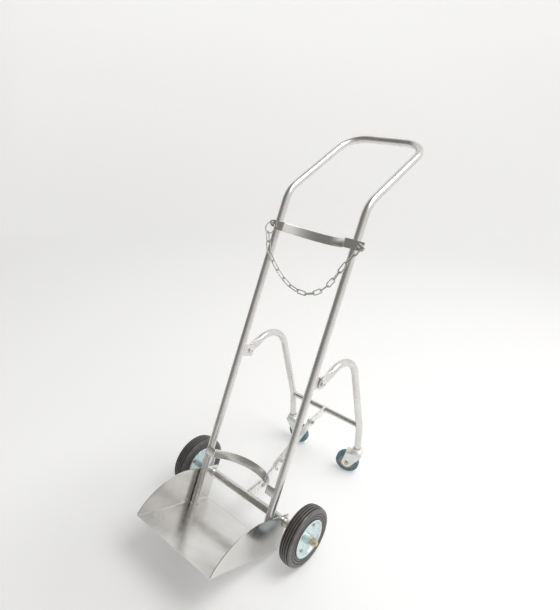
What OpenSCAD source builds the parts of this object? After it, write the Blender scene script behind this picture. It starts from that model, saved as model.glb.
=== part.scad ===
// Gas cylinder trolley: a bent-tube frame on two rubber wheels, with a sheet tray,
// two curved bands and a safety chain for the cylinder, and folding rear legs on casters.
// Millimetres. +Z is up, X runs along the wheel axle, -Y is the tray's side and +Y the handle's.
// The origin is on the floor, under the middle of the whole trolley.

/* [Main frame] */
// Distance between the centre lines of the two uprights
frame_w = 308; // [280:1:340]
// Outside diameter of the frame and leg tubes
tube_d = 25; // [22:0.5:28]
// Wall of every tube
tube_wall = 2; // [1.25:0.25:3]
// Backward lean of the uprights, in degrees
lean = 26; // [24:0.5:28]
// Uprights ahead of the wheel axle
upright_lead = 71; // [64:1:80]
// Length of the uprights from the axle up to the handle bend
upright_h = 1030; // [960:5:1120]
// Further backward bend of the handle, in degrees
handle_bend = 43; // [30:1:50]
// Handle length from its bend to the hand bar
handle_reach = 375; // [320:5:430]
// Bend radius between the uprights and the handle
frame_bend_r = 90; // [60:5:120]
// Bend radius at the corners of the hand bar
handle_corner_r = 80; // [60:5:100]

/* [Tray] */
// Tray floor ahead of the axle
tray_front = 305; // [280:5:340]
// Tray floor behind the axle
tray_back = 11.5; // [6:0.5:20]
// Height of the side cheeks over the tray floor
cheek_h = 126; // [122:1:150]
// Radius of the arc from each cheek's top edge down to the front lip
cheek_corner_r = 200; // [160:5:260]
// Height of the cheeks over the tray floor at the front lip
lip_rise = 3; // [1:0.5:10]
// Sheet thickness
sheet_t = 2.5; // [1.5:0.25:4]
// Inside radius of the folds between floor and cheeks
fold_r = 1.5; // [0.5:0.25:2]
// Room between an upright and its cheek
cheek_gap = 2; // [1.5:0.25:4]
// Height of the tray's lowest edge over the floor
tray_clear = 3; // [2:0.5:8]

/* [Cylinder bands] */
// Radius of the cylinder that the bands hold
band_r = 132; // [126:1:150]
// Angle of the cylinder that each band wraps, in degrees
band_wrap = 130.8; // [115:0.1:140]
// Height of the bands
band_h = 30; // [20:1:40]
// Thickness of the bands
band_t = 4; // [3:0.5:6]
// Lower band over the axle, along the uprights
lower_band_s = 105; // [90:1:140]
// Upper band over the axle, along the uprights
upper_band_s = 905; // [880:1:930]

/* [Wheels and axle] */
// Tyre diameter
wheel_d = 200; // [180:5:220]
// Tyre width
tyre_w = 43; // [38:1:50]
// Distance between the two wheels' middle planes
wheel_track = 500; // [480:2:540]
// Diameter of the rim's drum under the tyre
rim_d = 116; // [110:1:126]
// Axle diameter
axle_d = 16; // [14:0.5:18]
// Outside diameter of the tube around the axle
axle_tube_d = 28; // [25:1:34]
// Length of the wheel hub
hub_len = 54; // [52:1:62]
// Outside diameter of the wheel hub
hub_d = 34; // [31:1:38]
// Width over the flats of the axle nut
nut_w = 24; // [22:1:28]
// Circle on which the rim bolts sit
rim_bolt_circle = 84; // [76:1:90]

/* [Rear legs] */
// Leg hinge over the axle, along the uprights
hinge_s = 468; // [440:1:500]
// Leg hinge behind the centre line of its upright
hinge_back = 52; // [48:1:60]
// Rise of the legs behind the hinge, in degrees
leg_rise = 19; // [15:0.5:23]
// Backward splay of the legs below their hook, in degrees
leg_splay = 13; // [10:0.5:16]
// Legs' feet behind the axle
leg_spread = 436; // [410:1:470]
// Height of the kink and the cross bar over the floor
kink_h = 219; // [200:1:240]
// Bend radius of the kink
kink_r = 80; // [50:5:120]
// Thickness of a leg's flattened hinge end
leg_flat_t = 5; // [4.5:0.25:6]
// Width of a leg's flattened hinge end
leg_flat_w = 36; // [32:1:38]
// Length of the flat behind the hinge
leg_flat_len = 28; // [24:1:34]
// Length over which the flat grows into the round tube
leg_taper_len = 34; // [24:1:44]
// Thickness of the hinge bracket plates
bracket_t = 5; // [4:0.5:7]
// Height of the hinge bracket plates
bracket_h = 40; // [40:1:50]
// Diameter of the hinge bolts
hinge_bolt_d = 10; // [8:0.5:12]
// Diameter of the cross bar
crossbar_d = 20; // [16:1:24]

/* [Folding stay] */
// Reach of the lug behind the axle
axle_lug_reach = 73; // [60:1:90]
// Reach of the lug ahead of the cross bar
bar_lug_reach = 88; // [70:1:100]
// Dip of the cross bar lug, in degrees
bar_lug_dip = 7; // [0:0.5:14]
// Length of the lower bar between its pivots
stay_bar_len = 108; // [96:1:120]
// Thickness of the lower bar and of the cross bar lug
stay_bar_t = 8; // [6:0.5:10]
// Width of the lower bar
stay_bar_w = 15; // [14:0.5:18]
// Thickness of the paired strips
strip_t = 3; // [2:0.25:4]
// Width of the paired strips
strip_w = 18; // [16:0.5:22]
// Overlap of the strips past the knee
strip_tail = 32; // [26:1:36]
// Diameter of the stay's bolts
stay_bolt_d = 8; // [6:0.5:9]

/* [Casters] */
// Overall height of a caster
caster_h = 118; // [112:1:128]
// Caster wheel diameter
caster_wheel_d = 90; // [82:1:96]
// Caster wheel width
caster_wheel_w = 25; // [20:1:30]
// Wheel axle behind the swivel axis
caster_trail = 35; // [30:1:40]
// Diameter of the swivel head
caster_head_d = 44; // [40:1:50]
// Heading of the left caster's wheel, in degrees
caster_yaw_left = -2; // [-180:1:180]
// Heading of the right caster's wheel, in degrees
caster_yaw_right = 198; // [-180:1:360]

/* [Safety chain] */
// Wire diameter of the chain links
link_wire = 3.6; // [3:0.1:4.5]
// Outside width of a link
link_w = 17; // [15:0.5:20]
// Distance from one link to the next
link_pitch = 34; // [30:0.5:36]
// Links in the hanging loop (odd)
loop_links = 11; // [11:2:13]
// Height along the uprights at which the chain crosses them
chain_s = 815; // [790:1:830]
// Chain ahead of the front line of the uprights
chain_stand = 10; // [9.5:0.5:13]
// Outward slant of the chain's ends, in degrees
lead_slant = 26; // [22:0.5:30]
// Mean diameter of the ring at the left end
ring_d = 37; // [34:0.5:40]
// Wire diameter of the ring
ring_wire = 3; // [2.5:0.25:3.5]
// Length of the shackle from its pin to its bow
shackle_len = 34; // [30:0.5:40]
// Distance between the shackle's legs
shackle_w = 16; // [15:0.5:18]
// Wire diameter of the shackle
shackle_wire = 5; // [4:0.25:5.5]

/* [Hidden] */
$fn = 64;

// Clearances
body_gap = 0.3;     // between pieces that move past each other
run_gap = 0.05;     // radial room of a running fit
weld_gap = 0.1;     // radial room of a welded or pressed seat
collar_gap = 0.05;  // how far a collar stands proud of the tube, inside and out

// Wheel and tray levels, with the axle as the zero of the leaning frame
wheel_r = wheel_d / 2;
tray_drop = (wheel_r - tray_clear - tray_back * sin(lean)) / cos(lean) - sheet_t;
tray_in = frame_w + tube_d + 2 * cheek_gap;
tray_low = -tray_drop - sheet_t;

// Middle of the trolley from front lip to hand bar, measured from the axle
reach_rear = upright_h * sin(lean) - upright_lead * cos(lean) + handle_reach * sin(lean + handle_bend) + tube_d / 2;
reach_front = tray_low * sin(lean) - tray_front * cos(lean);
y_mid = (reach_rear + reach_front) / 2;

// A point of the leaning frame, s along the uprights and n ahead of the axle, in the part's frame
function frame_pt(x, s, n) = [
    x,
    s * sin(lean) - n * cos(lean) - y_mid,
    wheel_r + s * cos(lean) + n * sin(lean)
];

module on_frame() translate([0, -y_mid, wheel_r]) rotate([-lean, 0, 0]) children();
module on_axle() translate([0, -y_mid, wheel_r]) children();
module both_sides() for (m = [0, 1]) mirror([m, 0, 0]) children();

// Turns local z to the direction v
module aim(v) rotate([0, acos(v[2] / norm(v)), atan2(v[1], v[0])]) children();

// Turns an outline drawn in y and z so that its thickness runs along +x
module side_plate(t) rotate([90, 0, 90]) linear_extrude(t) children();

module colour_steel() color([0.72, 0.72, 0.7]) children();
module colour_zinc() color([0.82, 0.86, 0.86]) children();
module colour_rubber() color([0.16, 0.15, 0.15]) children();
module colour_brass() color([0.76, 0.68, 0.48]) children();
module colour_blue() color([0.3, 0.47, 0.55]) children();
module colour_tan() color([0.68, 0.5, 0.36]) children();

// Tubes

module tube_section(d, wall) {
    difference() {
        circle(d = d);
        if (wall > 0) circle(d = d - 2 * wall);
    }
}

// A hair-thin collar where two runs of a tube join
module tube_collar(d, wall) {
    thick = wall > 0 ? wall + 2 * collar_gap : 0;
    translate([0, 0, -1]) linear_extrude(2) tube_section(d + 2 * collar_gap, thick);
}

// A tube up local z; each step is [straight length, bend radius, bend angle, roll before it]
module tube_path(steps, d, wall, i = 0) {
    run = steps[i][0];
    r = steps[i][1];
    turn = steps[i][2];
    if (i > 0) tube_collar(d, wall);
    rotate([0, 0, steps[i][3]]) {
        linear_extrude(run) tube_section(d, wall);
        translate([0, 0, run]) {
            if (turn > 0)
                translate([0, r, 0]) rotate([90, 0, -90])
                    rotate_extrude(angle = turn) translate([r, 0]) tube_section(d, wall);
            if (i + 1 < len(steps))
                translate([0, r * (1 - cos(turn)), r * sin(turn)]) rotate([-turn, 0, 0])
                    tube_path(steps, d, wall, i + 1);
        }
    }
}

bend_run = frame_bend_r * tan(handle_bend / 2);

module frame_tube() {
    half = [
        [upright_h + tray_drop - bend_run, frame_bend_r, handle_bend, 0],
        [handle_reach - bend_run - handle_corner_r, handle_corner_r, 90, -90],
        [frame_w / 2 - handle_corner_r, 0, 0, 0]
    ];
    bar_y = handle_reach * sin(handle_bend) - upright_lead;
    bar_z = handle_reach * cos(handle_bend) + upright_h;
    colour_steel() on_frame() {
        both_sides() translate([-frame_w / 2, -upright_lead, -tray_drop]) tube_path(half, tube_d, tube_wall);
        translate([0, bar_y, bar_z]) rotate([0, 90, 0]) tube_collar(tube_d, tube_wall);
    }
}

// Tray

module round_floor_outline(w, h, r) {
    translate([-w / 2, r]) square([w, h - r]);
    translate([-w / 2 + r, 0]) square([w - 2 * r, h]);
    for (s = [-1, 1]) translate([s * (w / 2 - r), r]) circle(r);
}

module cheek_outline() {
    top = cheek_h + sheet_t;
    low = sheet_t + lip_rise;
    run = sqrt(pow(cheek_corner_r, 2) - pow(cheek_corner_r - top + low, 2));
    translate([-tray_front + run, 0]) square([tray_front + tray_back - run, top]);
    intersection() {
        translate([-tray_front, 0]) square([run + sheet_t, top]);
        translate([-tray_front + run, top - cheek_corner_r]) circle(cheek_corner_r);
    }
}

module tray() {
    wide = tray_in + 2 * sheet_t;
    colour_steel() on_frame() difference() {
        intersection() {
            translate([0, tray_back, tray_low]) rotate([90, 0, 0]) linear_extrude(tray_front + tray_back)
                difference() {
                    round_floor_outline(wide, cheek_h + sheet_t, fold_r + sheet_t);
                    translate([0, sheet_t]) round_floor_outline(tray_in, cheek_h + sheet_t, fold_r);
                }
            translate([-wide / 2, 0, tray_low]) side_plate(wide) cheek_outline();
        }
        rotate([0, 90, 0]) cylinder(d = axle_tube_d + 2 * weld_gap, h = wide + 2, center = true);
    }
}

// Cylinder bands

tab_back = upright_lead + tube_d / 2;
tab_front = tab_back + band_t;
band_centre = tab_front + band_r * cos(band_wrap / 2);

// Plan of a band, with the axle at the origin and the tray side at -y
module band_outline() {
    difference() {
        union() {
            intersection() {
                translate([0, -band_centre]) circle(r = band_r + band_t, $fn = 128);
                translate([-frame_w / 2, -tab_front]) square([frame_w, band_r + band_t]);
            }
            translate([-frame_w / 2, -tab_front]) square([frame_w, band_t]);
        }
        translate([0, -band_centre]) circle(r = band_r, $fn = 128);
    }
}

module band_at(s) {
    colour_steel() on_frame() translate([0, 0, s - band_h / 2]) linear_extrude(band_h) band_outline();
}

module upper_band() band_at(upper_band_s);
module lower_band() band_at(lower_band_s);

// Axle and wheels

wheel_x = wheel_track / 2;
washer_t = 3;
washer_w = hub_d - 2;
nut_t = 13;
axle_proud = 8;
axle_tube_end = wheel_x - hub_len / 2 - body_gap - washer_t;
outer_washer = wheel_x + hub_len / 2 + body_gap;
axle_end = outer_washer + washer_t + nut_t + axle_proud;

module axle_ring(x, t, d) {
    translate([x, 0, 0]) rotate([0, 90, 0]) difference() {
        cylinder(d = d, h = t);
        translate([0, 0, -1]) cylinder(d = axle_d + 2 * weld_gap, h = t + 2);
    }
}

module axle_tube() {
    colour_steel() on_axle() rotate([0, 90, 0]) difference() {
        cylinder(d = axle_tube_d, h = 2 * axle_tube_end, center = true);
        cylinder(d = axle_d + 2 * weld_gap, h = 2 * axle_tube_end + 2, center = true);
    }
}

module axle_rod() {
    colour_zinc() on_axle() rotate([0, 90, 0]) cylinder(d = axle_d, h = 2 * axle_end, center = true);
}

module axle_washers() {
    colour_zinc() on_axle() both_sides() {
        axle_ring(axle_tube_end, washer_t, washer_w);
        axle_ring(outer_washer, washer_t, washer_w);
    }
}

module axle_nuts() {
    colour_brass() on_axle() both_sides() translate([outer_washer + washer_t, 0, 0]) rotate([0, 90, 0])
        difference() {
            cylinder(d = nut_w / cos(30), h = nut_t, $fn = 6);
            translate([0, 0, -1]) cylinder(d = axle_d + 2 * weld_gap, h = nut_t + 2);
        }
}

rim_r = rim_d / 2;
rim_t = 2;
lip_h = 5;
web_out = 13;
rib_count = 4;
rib_pitch = 7;
rib_cut = 1.6;
tread_r = 60;

module on_wheel(side) translate([side * wheel_x, -y_mid, wheel_r]) rotate([0, 90, 0]) children();

shoulder_drop = 14;
bead_drop = 20;
flank_r = 38;
flank_out = 2;

// Section of the tyre: x is the radius, y the distance from the wheel's middle plane
module tyre_outline() {
    shoulder = wheel_r - shoulder_drop;
    difference() {
        intersection() {
            translate([rim_r, -tyre_w / 2]) square([wheel_r - rim_r, tyre_w]);
            union() {
                translate([wheel_r - tread_r, 0]) circle(tread_r, $fn = 128);
                translate([0, -tyre_w / 2]) square([shoulder - bead_drop, tyre_w]);
            }
            translate([wheel_r + flank_out - flank_r, 0]) circle(flank_r, $fn = 128);
        }
        for (k = [0 : rib_count - 1])
            translate([wheel_r + rib_cut / 4, (k - (rib_count - 1) / 2) * rib_pitch]) circle(rib_cut);
    }
}

module tyre(side) colour_rubber() on_wheel(side) rotate_extrude() tyre_outline();

// Half of the pressed rim: hub hole, web, drum and the lip over the tyre's side
module rim_half_outline() {
    lip_y = tyre_w / 2;
    drum_r = rim_r - weld_gap;
    translate([hub_d / 2 + weld_gap, web_out - rim_t]) square([drum_r - hub_d / 2 - weld_gap, rim_t]);
    translate([drum_r - rim_t, 0]) square([rim_t, lip_y + weld_gap + rim_t]);
    translate([drum_r - rim_t, lip_y + weld_gap]) square([lip_h + rim_t, rim_t]);
    translate([drum_r + lip_h, lip_y + weld_gap + rim_t / 2]) circle(d = rim_t);
}

module rim_bolt_spots() {
    for (k = [0 : 3]) rotate([0, 0, 45 + 90 * k]) translate([rim_bolt_circle / 2, 0, 0]) children();
}

module rim_half(side, outward) {
    colour_zinc() on_wheel(side) mirror([0, 0, side * outward > 0 ? 0 : 1]) difference() {
        rotate_extrude() rim_half_outline();
        rim_bolt_spots() cylinder(d = rim_bolt_d + 2 * weld_gap, h = 2 * web_out);
    }
}

rim_bolt_d = 6;
rim_bolt_head = 11;
rim_bolt_head_t = 4;

module rim_bolts(side) {
    colour_zinc() on_wheel(side) rim_bolt_spots() {
        cylinder(d = rim_bolt_d, h = 2 * web_out, center = true);
        for (m = [0, 1]) mirror([0, 0, m])
            translate([0, 0, web_out]) cylinder(d = rim_bolt_head, h = rim_bolt_head_t, $fn = 6);
    }
}

bush_wall = 3;

module hub(side) {
    colour_zinc() on_wheel(side) difference() {
        cylinder(d = hub_d, h = hub_len, center = true);
        cylinder(d = axle_d + 2 * (bush_wall + weld_gap), h = hub_len + 2, center = true);
    }
}

module hub_bush(side) {
    colour_tan() on_wheel(side) difference() {
        cylinder(d = axle_d + 2 * bush_wall, h = hub_len, center = true);
        cylinder(d = axle_d + 2 * run_gap, h = hub_len + 2, center = true);
    }
}

module left_tyre() tyre(-1);
module left_rim_outer() rim_half(-1, 1);
module left_rim_inner() rim_half(-1, -1);
module left_rim_bolts() rim_bolts(-1);
module left_hub() hub(-1);
module left_hub_bush() hub_bush(-1);
module right_tyre() tyre(1);
module right_rim_outer() rim_half(1, 1);
module right_rim_inner() rim_half(1, -1);
module right_rim_bolts() rim_bolts(1);
module right_hub() hub(1);
module right_hub_bush() hub_bush(1);

// Rear legs: hinge A on the frame, kink K over the caster, both as [y, z] in the part's frame

hinge_y = hinge_back - upright_lead;
hinge_pt = frame_pt(0, hinge_s, -hinge_y);
kink_pt = [0, leg_spread - y_mid, kink_h];
leg_x = frame_w / 2 + bracket_t / 2 + body_gap + leg_flat_t / 2;

// The two straight runs of a leg meet at a corner that the hook rounds off
rise_dir = [cos(leg_rise), sin(leg_rise)];
climb_dir = [-sin(leg_splay), cos(leg_splay)];
span_yz = [kink_pt[1] - hinge_pt[1], kink_pt[2] - hinge_pt[2]];
cross_dirs = rise_dir[0] * climb_dir[1] - rise_dir[1] * climb_dir[0];
rise_len = (span_yz[0] * climb_dir[1] - span_yz[1] * climb_dir[0]) / cross_dirs;
climb_len = (span_yz[0] * rise_dir[1] - span_yz[1] * rise_dir[0]) / cross_dirs;
hook_turn = 90 + leg_rise - leg_splay;
hook_start = leg_flat_len + leg_taper_len;
hook_run = rise_len - hook_start;
hook_r = hook_run / tan(hook_turn / 2);
kink_run = kink_r * tan(leg_splay / 2);
foot_run = kink_h - kink_run - caster_h;

leg_steps = [
    [1, hook_r, hook_turn, 0],
    [climb_len - hook_run - kink_run, kink_r, leg_splay, 0],
    [foot_run, 0, 0, 0]
];

module on_hinge(side)
    translate([side * leg_x, hinge_pt[1], hinge_pt[2]]) rotate([leg_rise - 90, 0, 0]) children();

module leg_tube(side, wall) on_hinge(side) translate([0, 0, hook_start - 1]) tube_path(leg_steps, tube_d, wall);

// Flattened end of a leg, drawn with the hinge at the origin and the leg along local z
module leg_flat() {
    rotate([0, -90, 0]) translate([0, 0, -leg_flat_t / 2]) linear_extrude(leg_flat_t) difference() {
        union() {
            circle(d = leg_flat_w);
            translate([0, -leg_flat_w / 2]) square([leg_flat_len, leg_flat_w]);
        }
        circle(d = hinge_bolt_d + 2 * run_gap);
    }
}

// Outline of one side of the taper, from the flat's width to the tube's
module taper_outline(w) {
    polygon([
        [-w / 2, leg_flat_len],
        [w / 2, leg_flat_len],
        [tube_d / 2, hook_start - 1],
        [-tube_d / 2, hook_start - 1]
    ]);
}

module leg_taper() {
    wide = norm([leg_flat_w, leg_flat_t]) + 1;
    intersection() {
        translate([0, 0, leg_flat_len]) cylinder(d1 = wide, d2 = tube_d, h = leg_taper_len - 1);
        rotate([90, 0, 90]) linear_extrude(2 * wide, center = true) taper_outline(leg_flat_w);
        rotate([90, 0, 0]) linear_extrude(2 * wide, center = true) taper_outline(leg_flat_t);
    }
}

module leg(side) {
    colour_steel() {
        on_hinge(side) {
            leg_flat();
            leg_taper();
        }
        leg_tube(side, tube_wall);
    }
}

module left_leg() leg(-1);
module right_leg() leg(1);

module leg_crossbar() {
    colour_steel() difference() {
        translate([0, kink_pt[1], kink_pt[2]]) rotate([0, 90, 0])
            linear_extrude(2 * leg_x, center = true) tube_section(crossbar_d, tube_wall);
        for (side = [-1, 1]) leg_tube(side, 0);
    }
}

// Hinge brackets, bolts and stop pins, drawn on the leaning frame

bracket_end = 16;
bracket_corner = 8;
hinge_head_t = 6;
hinge_head_w = 17;
stop_pin_d = 6;
stop_pin_out = 2;
stop_reach = leg_flat_w / 2 + stop_pin_d / 2 + body_gap;
stop_turn = leg_rise + lean;

module bracket_outline() {
    long = hinge_back + bracket_end;
    translate([-upright_lead, hinge_s]) difference() {
        union() {
            translate([0, -bracket_h / 2]) square([long - bracket_corner, bracket_h]);
            translate([0, -bracket_h / 2 + bracket_corner]) square([long, bracket_h - 2 * bracket_corner]);
            for (s = [-1, 1])
                translate([long - bracket_corner, s * (bracket_h / 2 - bracket_corner)]) circle(bracket_corner);
        }
        translate([hinge_back, 0]) circle(d = hinge_bolt_d + 2 * weld_gap);
    }
}

module leg_bracket(side) {
    colour_steel() on_frame() difference() {
        translate([side * frame_w / 2 - bracket_t / 2, 0, 0]) side_plate(bracket_t) bracket_outline();
        translate([side * frame_w / 2, -upright_lead, hinge_s - bracket_h])
            cylinder(d = tube_d, h = 2 * bracket_h);
    }
}

module left_leg_bracket() leg_bracket(-1);
module right_leg_bracket() leg_bracket(1);

module leg_hinge_bolts() {
    inner = frame_w / 2 - bracket_t / 2;
    outer = leg_x + leg_flat_t / 2 + body_gap;
    colour_zinc() on_frame() both_sides() translate([0, hinge_y, hinge_s]) rotate([0, 90, 0]) {
        translate([0, 0, inner - hinge_head_t]) cylinder(d = hinge_bolt_d, h = outer - inner + hinge_head_t);
        translate([0, 0, inner - hinge_head_t]) cylinder(d = hinge_head_w / cos(30), h = hinge_head_t, $fn = 6);
        translate([0, 0, outer]) cylinder(d = hinge_head_w / cos(30), h = hinge_head_t, $fn = 6);
    }
}

module leg_stop_pins() {
    base = frame_w / 2 + bracket_t / 2;
    colour_zinc() on_frame() both_sides()
        translate([base, hinge_y - stop_reach * sin(stop_turn), hinge_s + stop_reach * cos(stop_turn)])
            rotate([0, 90, 0]) cylinder(d = stop_pin_d, h = body_gap + leg_flat_t + stop_pin_out);
}

// Folding stay: pivot B on the axle lug, pivot C on the cross bar lug, knee P between them

pivot_b = [0, axle_lug_reach - y_mid, wheel_r];
pivot_c = kink_pt - bar_lug_reach * [0, cos(bar_lug_dip), sin(bar_lug_dip)];
stay_dir = (pivot_c - pivot_b) / norm(pivot_c - pivot_b);
stay_angle = atan2(stay_dir[2], stay_dir[1]);
strip_len = norm(pivot_c - pivot_b) - stay_bar_len;
knee_pt = pivot_b + stay_bar_len * stay_dir;
axle_lug_t = 4;
axle_lug_w = 24;
bar_lug_w = 22;
stay_head_t = 5;
stay_head_w = 13;
stop_d = 5;
stop_drop = stay_bar_w / 2 + stop_d / 2 + body_gap;
stop_lobe = 6;
strip_in = stay_bar_t / 2 + body_gap;

// A flat link between two round ends, along +x from the origin
module link_outline(len, w, hole) {
    difference() {
        union() {
            translate([0, -w / 2]) square([len, w]);
            for (x = [0, len]) translate([x, 0]) circle(d = w);
        }
        translate([len, 0]) circle(d = hole);
    }
}

module axle_lug() {
    colour_steel() on_axle() for (m = [0, 1]) mirror([m, 0, 0]) difference() {
        translate([strip_in, 0, 0]) side_plate(axle_lug_t)
            link_outline(axle_lug_reach, axle_lug_w, stay_bolt_d + 2 * weld_gap);
        rotate([0, 90, 0]) cylinder(d = axle_tube_d, h = 8 * axle_lug_t, center = true);
    }
}

module cross_bolt(half) {
    rotate([0, 90, 0]) {
        cylinder(d = stay_bolt_d, h = 2 * half, center = true);
        for (m = [0, 1]) mirror([0, 0, m])
            translate([0, 0, half]) cylinder(d = stay_head_w / cos(30), h = stay_head_t, $fn = 6);
    }
}

module axle_lug_bolt() colour_zinc() translate(pivot_b) cross_bolt(strip_in + axle_lug_t);

module crossbar_lug() {
    colour_steel() difference() {
        translate(kink_pt) rotate([bar_lug_dip, 0, 0]) mirror([0, 1, 0])
            translate([-stay_bar_t / 2, 0, 0]) side_plate(stay_bar_t)
                link_outline(bar_lug_reach, bar_lug_w, stay_bolt_d + 2 * weld_gap);
        translate(kink_pt) rotate([0, 90, 0]) cylinder(d = crossbar_d, h = 4 * stay_bar_t, center = true);
    }
}

module crossbar_lug_bolt() colour_zinc() translate(pivot_c) cross_bolt(strip_in + strip_t + body_gap);

module along_stay(from) translate(from) rotate([stay_angle, 0, 0]) children();

module stay_bar() {
    colour_steel() along_stay(pivot_b) translate([-stay_bar_t / 2, 0, 0]) side_plate(stay_bar_t) difference() {
        link_outline(stay_bar_len, stay_bar_w, stay_bolt_d);
        circle(d = stay_bolt_d + 2 * run_gap);
    }
}

module strip_outline() {
    difference() {
        union() {
            translate([-strip_tail, -strip_w / 2]) square([strip_len + strip_tail, strip_w]);
            translate([strip_len, 0]) circle(d = strip_w);
            translate([-strip_tail, -stop_drop]) circle(stop_lobe);
            translate([-strip_tail - stop_lobe, -stop_drop]) square([2 * stop_lobe, stop_drop]);
        }
        circle(d = stay_bolt_d + 2 * weld_gap);
        translate([strip_len, 0]) circle(d = stay_bolt_d + 2 * run_gap);
        translate([-strip_tail, -stop_drop]) circle(d = stop_d + 2 * weld_gap);
    }
}

module stay_strips() {
    colour_steel() along_stay(knee_pt) both_sides() translate([strip_in, 0, 0]) side_plate(strip_t) strip_outline();
}

module knee_rivets() {
    colour_zinc() translate(knee_pt) both_sides() translate([strip_in, 0, 0]) rotate([0, 90, 0]) {
        cylinder(d = stay_bolt_d, h = strip_t + stay_head_t / 2);
        translate([0, 0, strip_t]) cylinder(d = stay_head_w, h = stay_head_t / 2);
    }
}

module knee_stop_pin() {
    half = strip_in + strip_t;
    colour_zinc() along_stay(knee_pt) translate([0, -strip_tail, -stop_drop]) rotate([0, 90, 0]) {
        cylinder(d = stop_d, h = 2 * half, center = true);
        for (m = [0, 1]) mirror([0, 0, m]) translate([0, 0, half]) cylinder(d = 1.8 * stop_d, h = stop_d / 2);
    }
}

// Casters: the head is welded under the leg, the fork swivels on its king pin

fork_t = 2.5;
fork_top = caster_wheel_d + 7;
head_low = fork_top + body_gap;
head_neck_d = tube_d + 6;
head_step = 10;
king_d = 10;
king_head_d = 17;
king_head_t = 3;
fork_room = 2;
fork_half = caster_wheel_w / 2 + fork_room;
caster_axle_d = 8;
caster_axle_r = caster_wheel_d / 2;
fork_end_r = 13;
fork_top_half = 16;
caster_bolt_w = 13;
caster_bolt_t = 5;
caster_tyre_t = 15;
core_r = caster_wheel_d / 2 - caster_tyre_t;

module on_caster(side)
    translate([side * leg_x, kink_pt[1], 0])
        rotate([0, 0, side < 0 ? caster_yaw_left : caster_yaw_right]) children();

module caster_head(side) {
    colour_zinc() on_caster(side) {
        translate([0, 0, head_low]) cylinder(d = caster_head_d, h = head_step);
        translate([0, 0, head_low]) cylinder(d = head_neck_d, h = caster_h - head_low);
        translate([0, 0, fork_top - fork_t - body_gap]) cylinder(d = king_d, h = fork_t + 2 * body_gap + 1);
        translate([0, 0, fork_top - fork_t - body_gap - king_head_t]) cylinder(d = king_head_d, h = king_head_t);
    }
}

// One cheek of the fork: from the top plate down to a round end at the wheel's axle
module fork_cheek_outline() {
    drop = fork_top - caster_axle_r;
    reach = norm([caster_trail, drop]);
    tilt = atan2(-drop, caster_trail);
    difference() {
        union() {
            translate([-fork_top_half, drop - 12]) square([2 * fork_top_half + 6, 12]);
            translate([caster_trail, 0]) circle(fork_end_r);
            polygon([
                [-fork_top_half, drop - 12],
                [fork_top_half + 6, drop - 12],
                [caster_trail, 0] + fork_end_r * [cos(tilt + 90), sin(tilt + 90)],
                [caster_trail, 0] + fork_end_r * [cos(tilt - 90), sin(tilt - 90)]
            ]);
        }
        translate([caster_trail, 0]) circle(d = caster_axle_d + 2 * weld_gap);
    }
}

module caster_fork(side) {
    colour_zinc() on_caster(side) {
        difference() {
            translate([0, 0, fork_top - fork_t]) union() {
                cylinder(d = caster_head_d - 2, h = fork_t);
                translate([-fork_top_half, -fork_half - fork_t, 0])
                    cube([2 * fork_top_half + 6, 2 * (fork_half + fork_t), fork_t]);
            }
            cylinder(d = king_d + 2 * run_gap, h = 2 * fork_top);
        }
        for (y = [-fork_half - fork_t, fork_half])
            translate([0, y + fork_t, caster_axle_r]) rotate([90, 0, 0]) linear_extrude(fork_t) fork_cheek_outline();
    }
}

module at_caster_axle(side) on_caster(side) translate([caster_trail, 0, caster_axle_r]) rotate([90, 0, 0]) children();

module caster_axle(side) {
    out = fork_half + fork_t;
    colour_zinc() at_caster_axle(side) {
        cylinder(d = caster_axle_d, h = 2 * out, center = true);
        for (m = [0, 1]) mirror([0, 0, m])
            translate([0, 0, out]) cylinder(d = caster_bolt_w / cos(30), h = caster_bolt_t, $fn = 6);
    }
}

module caster_core(side) {
    hub_half = fork_half - body_gap;
    colour_tan() at_caster_axle(side) difference() {
        union() {
            cylinder(r = core_r - weld_gap, h = caster_wheel_w - 3, center = true);
            cylinder(d = caster_axle_d + 10, h = 2 * hub_half, center = true);
        }
        cylinder(d = caster_axle_d + 2 * run_gap, h = 2 * hub_half + 2, center = true);
    }
}

module caster_tyre(side) {
    edge = 5;
    r = caster_wheel_d / 2;
    colour_blue() at_caster_axle(side) rotate_extrude() {
        translate([core_r, -caster_wheel_w / 2]) square([r - edge - core_r, caster_wheel_w]);
        translate([core_r, -caster_wheel_w / 2 + edge]) square([r - core_r, caster_wheel_w - 2 * edge]);
        for (s = [-1, 1]) translate([r - edge, s * (caster_wheel_w / 2 - edge)]) circle(edge);
    }
}

module left_caster_head() caster_head(-1);
module left_caster_fork() caster_fork(-1);
module left_caster_axle() caster_axle(-1);
module left_caster_core() caster_core(-1);
module left_caster_tyre() caster_tyre(-1);
module right_caster_head() caster_head(1);
module right_caster_fork() caster_fork(1);
module right_caster_axle() caster_axle(1);
module right_caster_core() caster_core(1);
module right_caster_tyre() caster_tyre(1);

// Safety chain: two fixed ends across the uprights and a loop that hangs between them

link_gap = 1;
chain_n = upright_lead + tube_d / 2 + chain_stand;
cross_x = (frame_w - tube_d) / 2;
bow_r = (link_w - link_wire) / 2;
link_half = (link_pitch + link_gap + link_wire) / 2;
lead_links = 2;

function sinh(v) = (exp(v) - exp(-v)) / 2;
function cosh(v) = (exp(v) + exp(-v)) / 2;
function asinh(v) = ln(v + sqrt(v * v + 1));

// Root q of sinh(q) / q = ratio, by halving
function sag_root(ratio, low = 0.01, high = 6, turns = 40) =
    let (mid = (low + high) / 2)
    turns == 0 ? mid
    : sinh(mid) / mid > ratio ? sag_root(ratio, low, mid, turns - 1)
    : sag_root(ratio, mid, high, turns - 1);

loop_len = loop_links * link_pitch;
sag_q = sag_root(loop_len / (2 * cross_x));
sag_a = cross_x / sag_q;
cross_pt = frame_pt(0, chain_s, chain_n);

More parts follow.
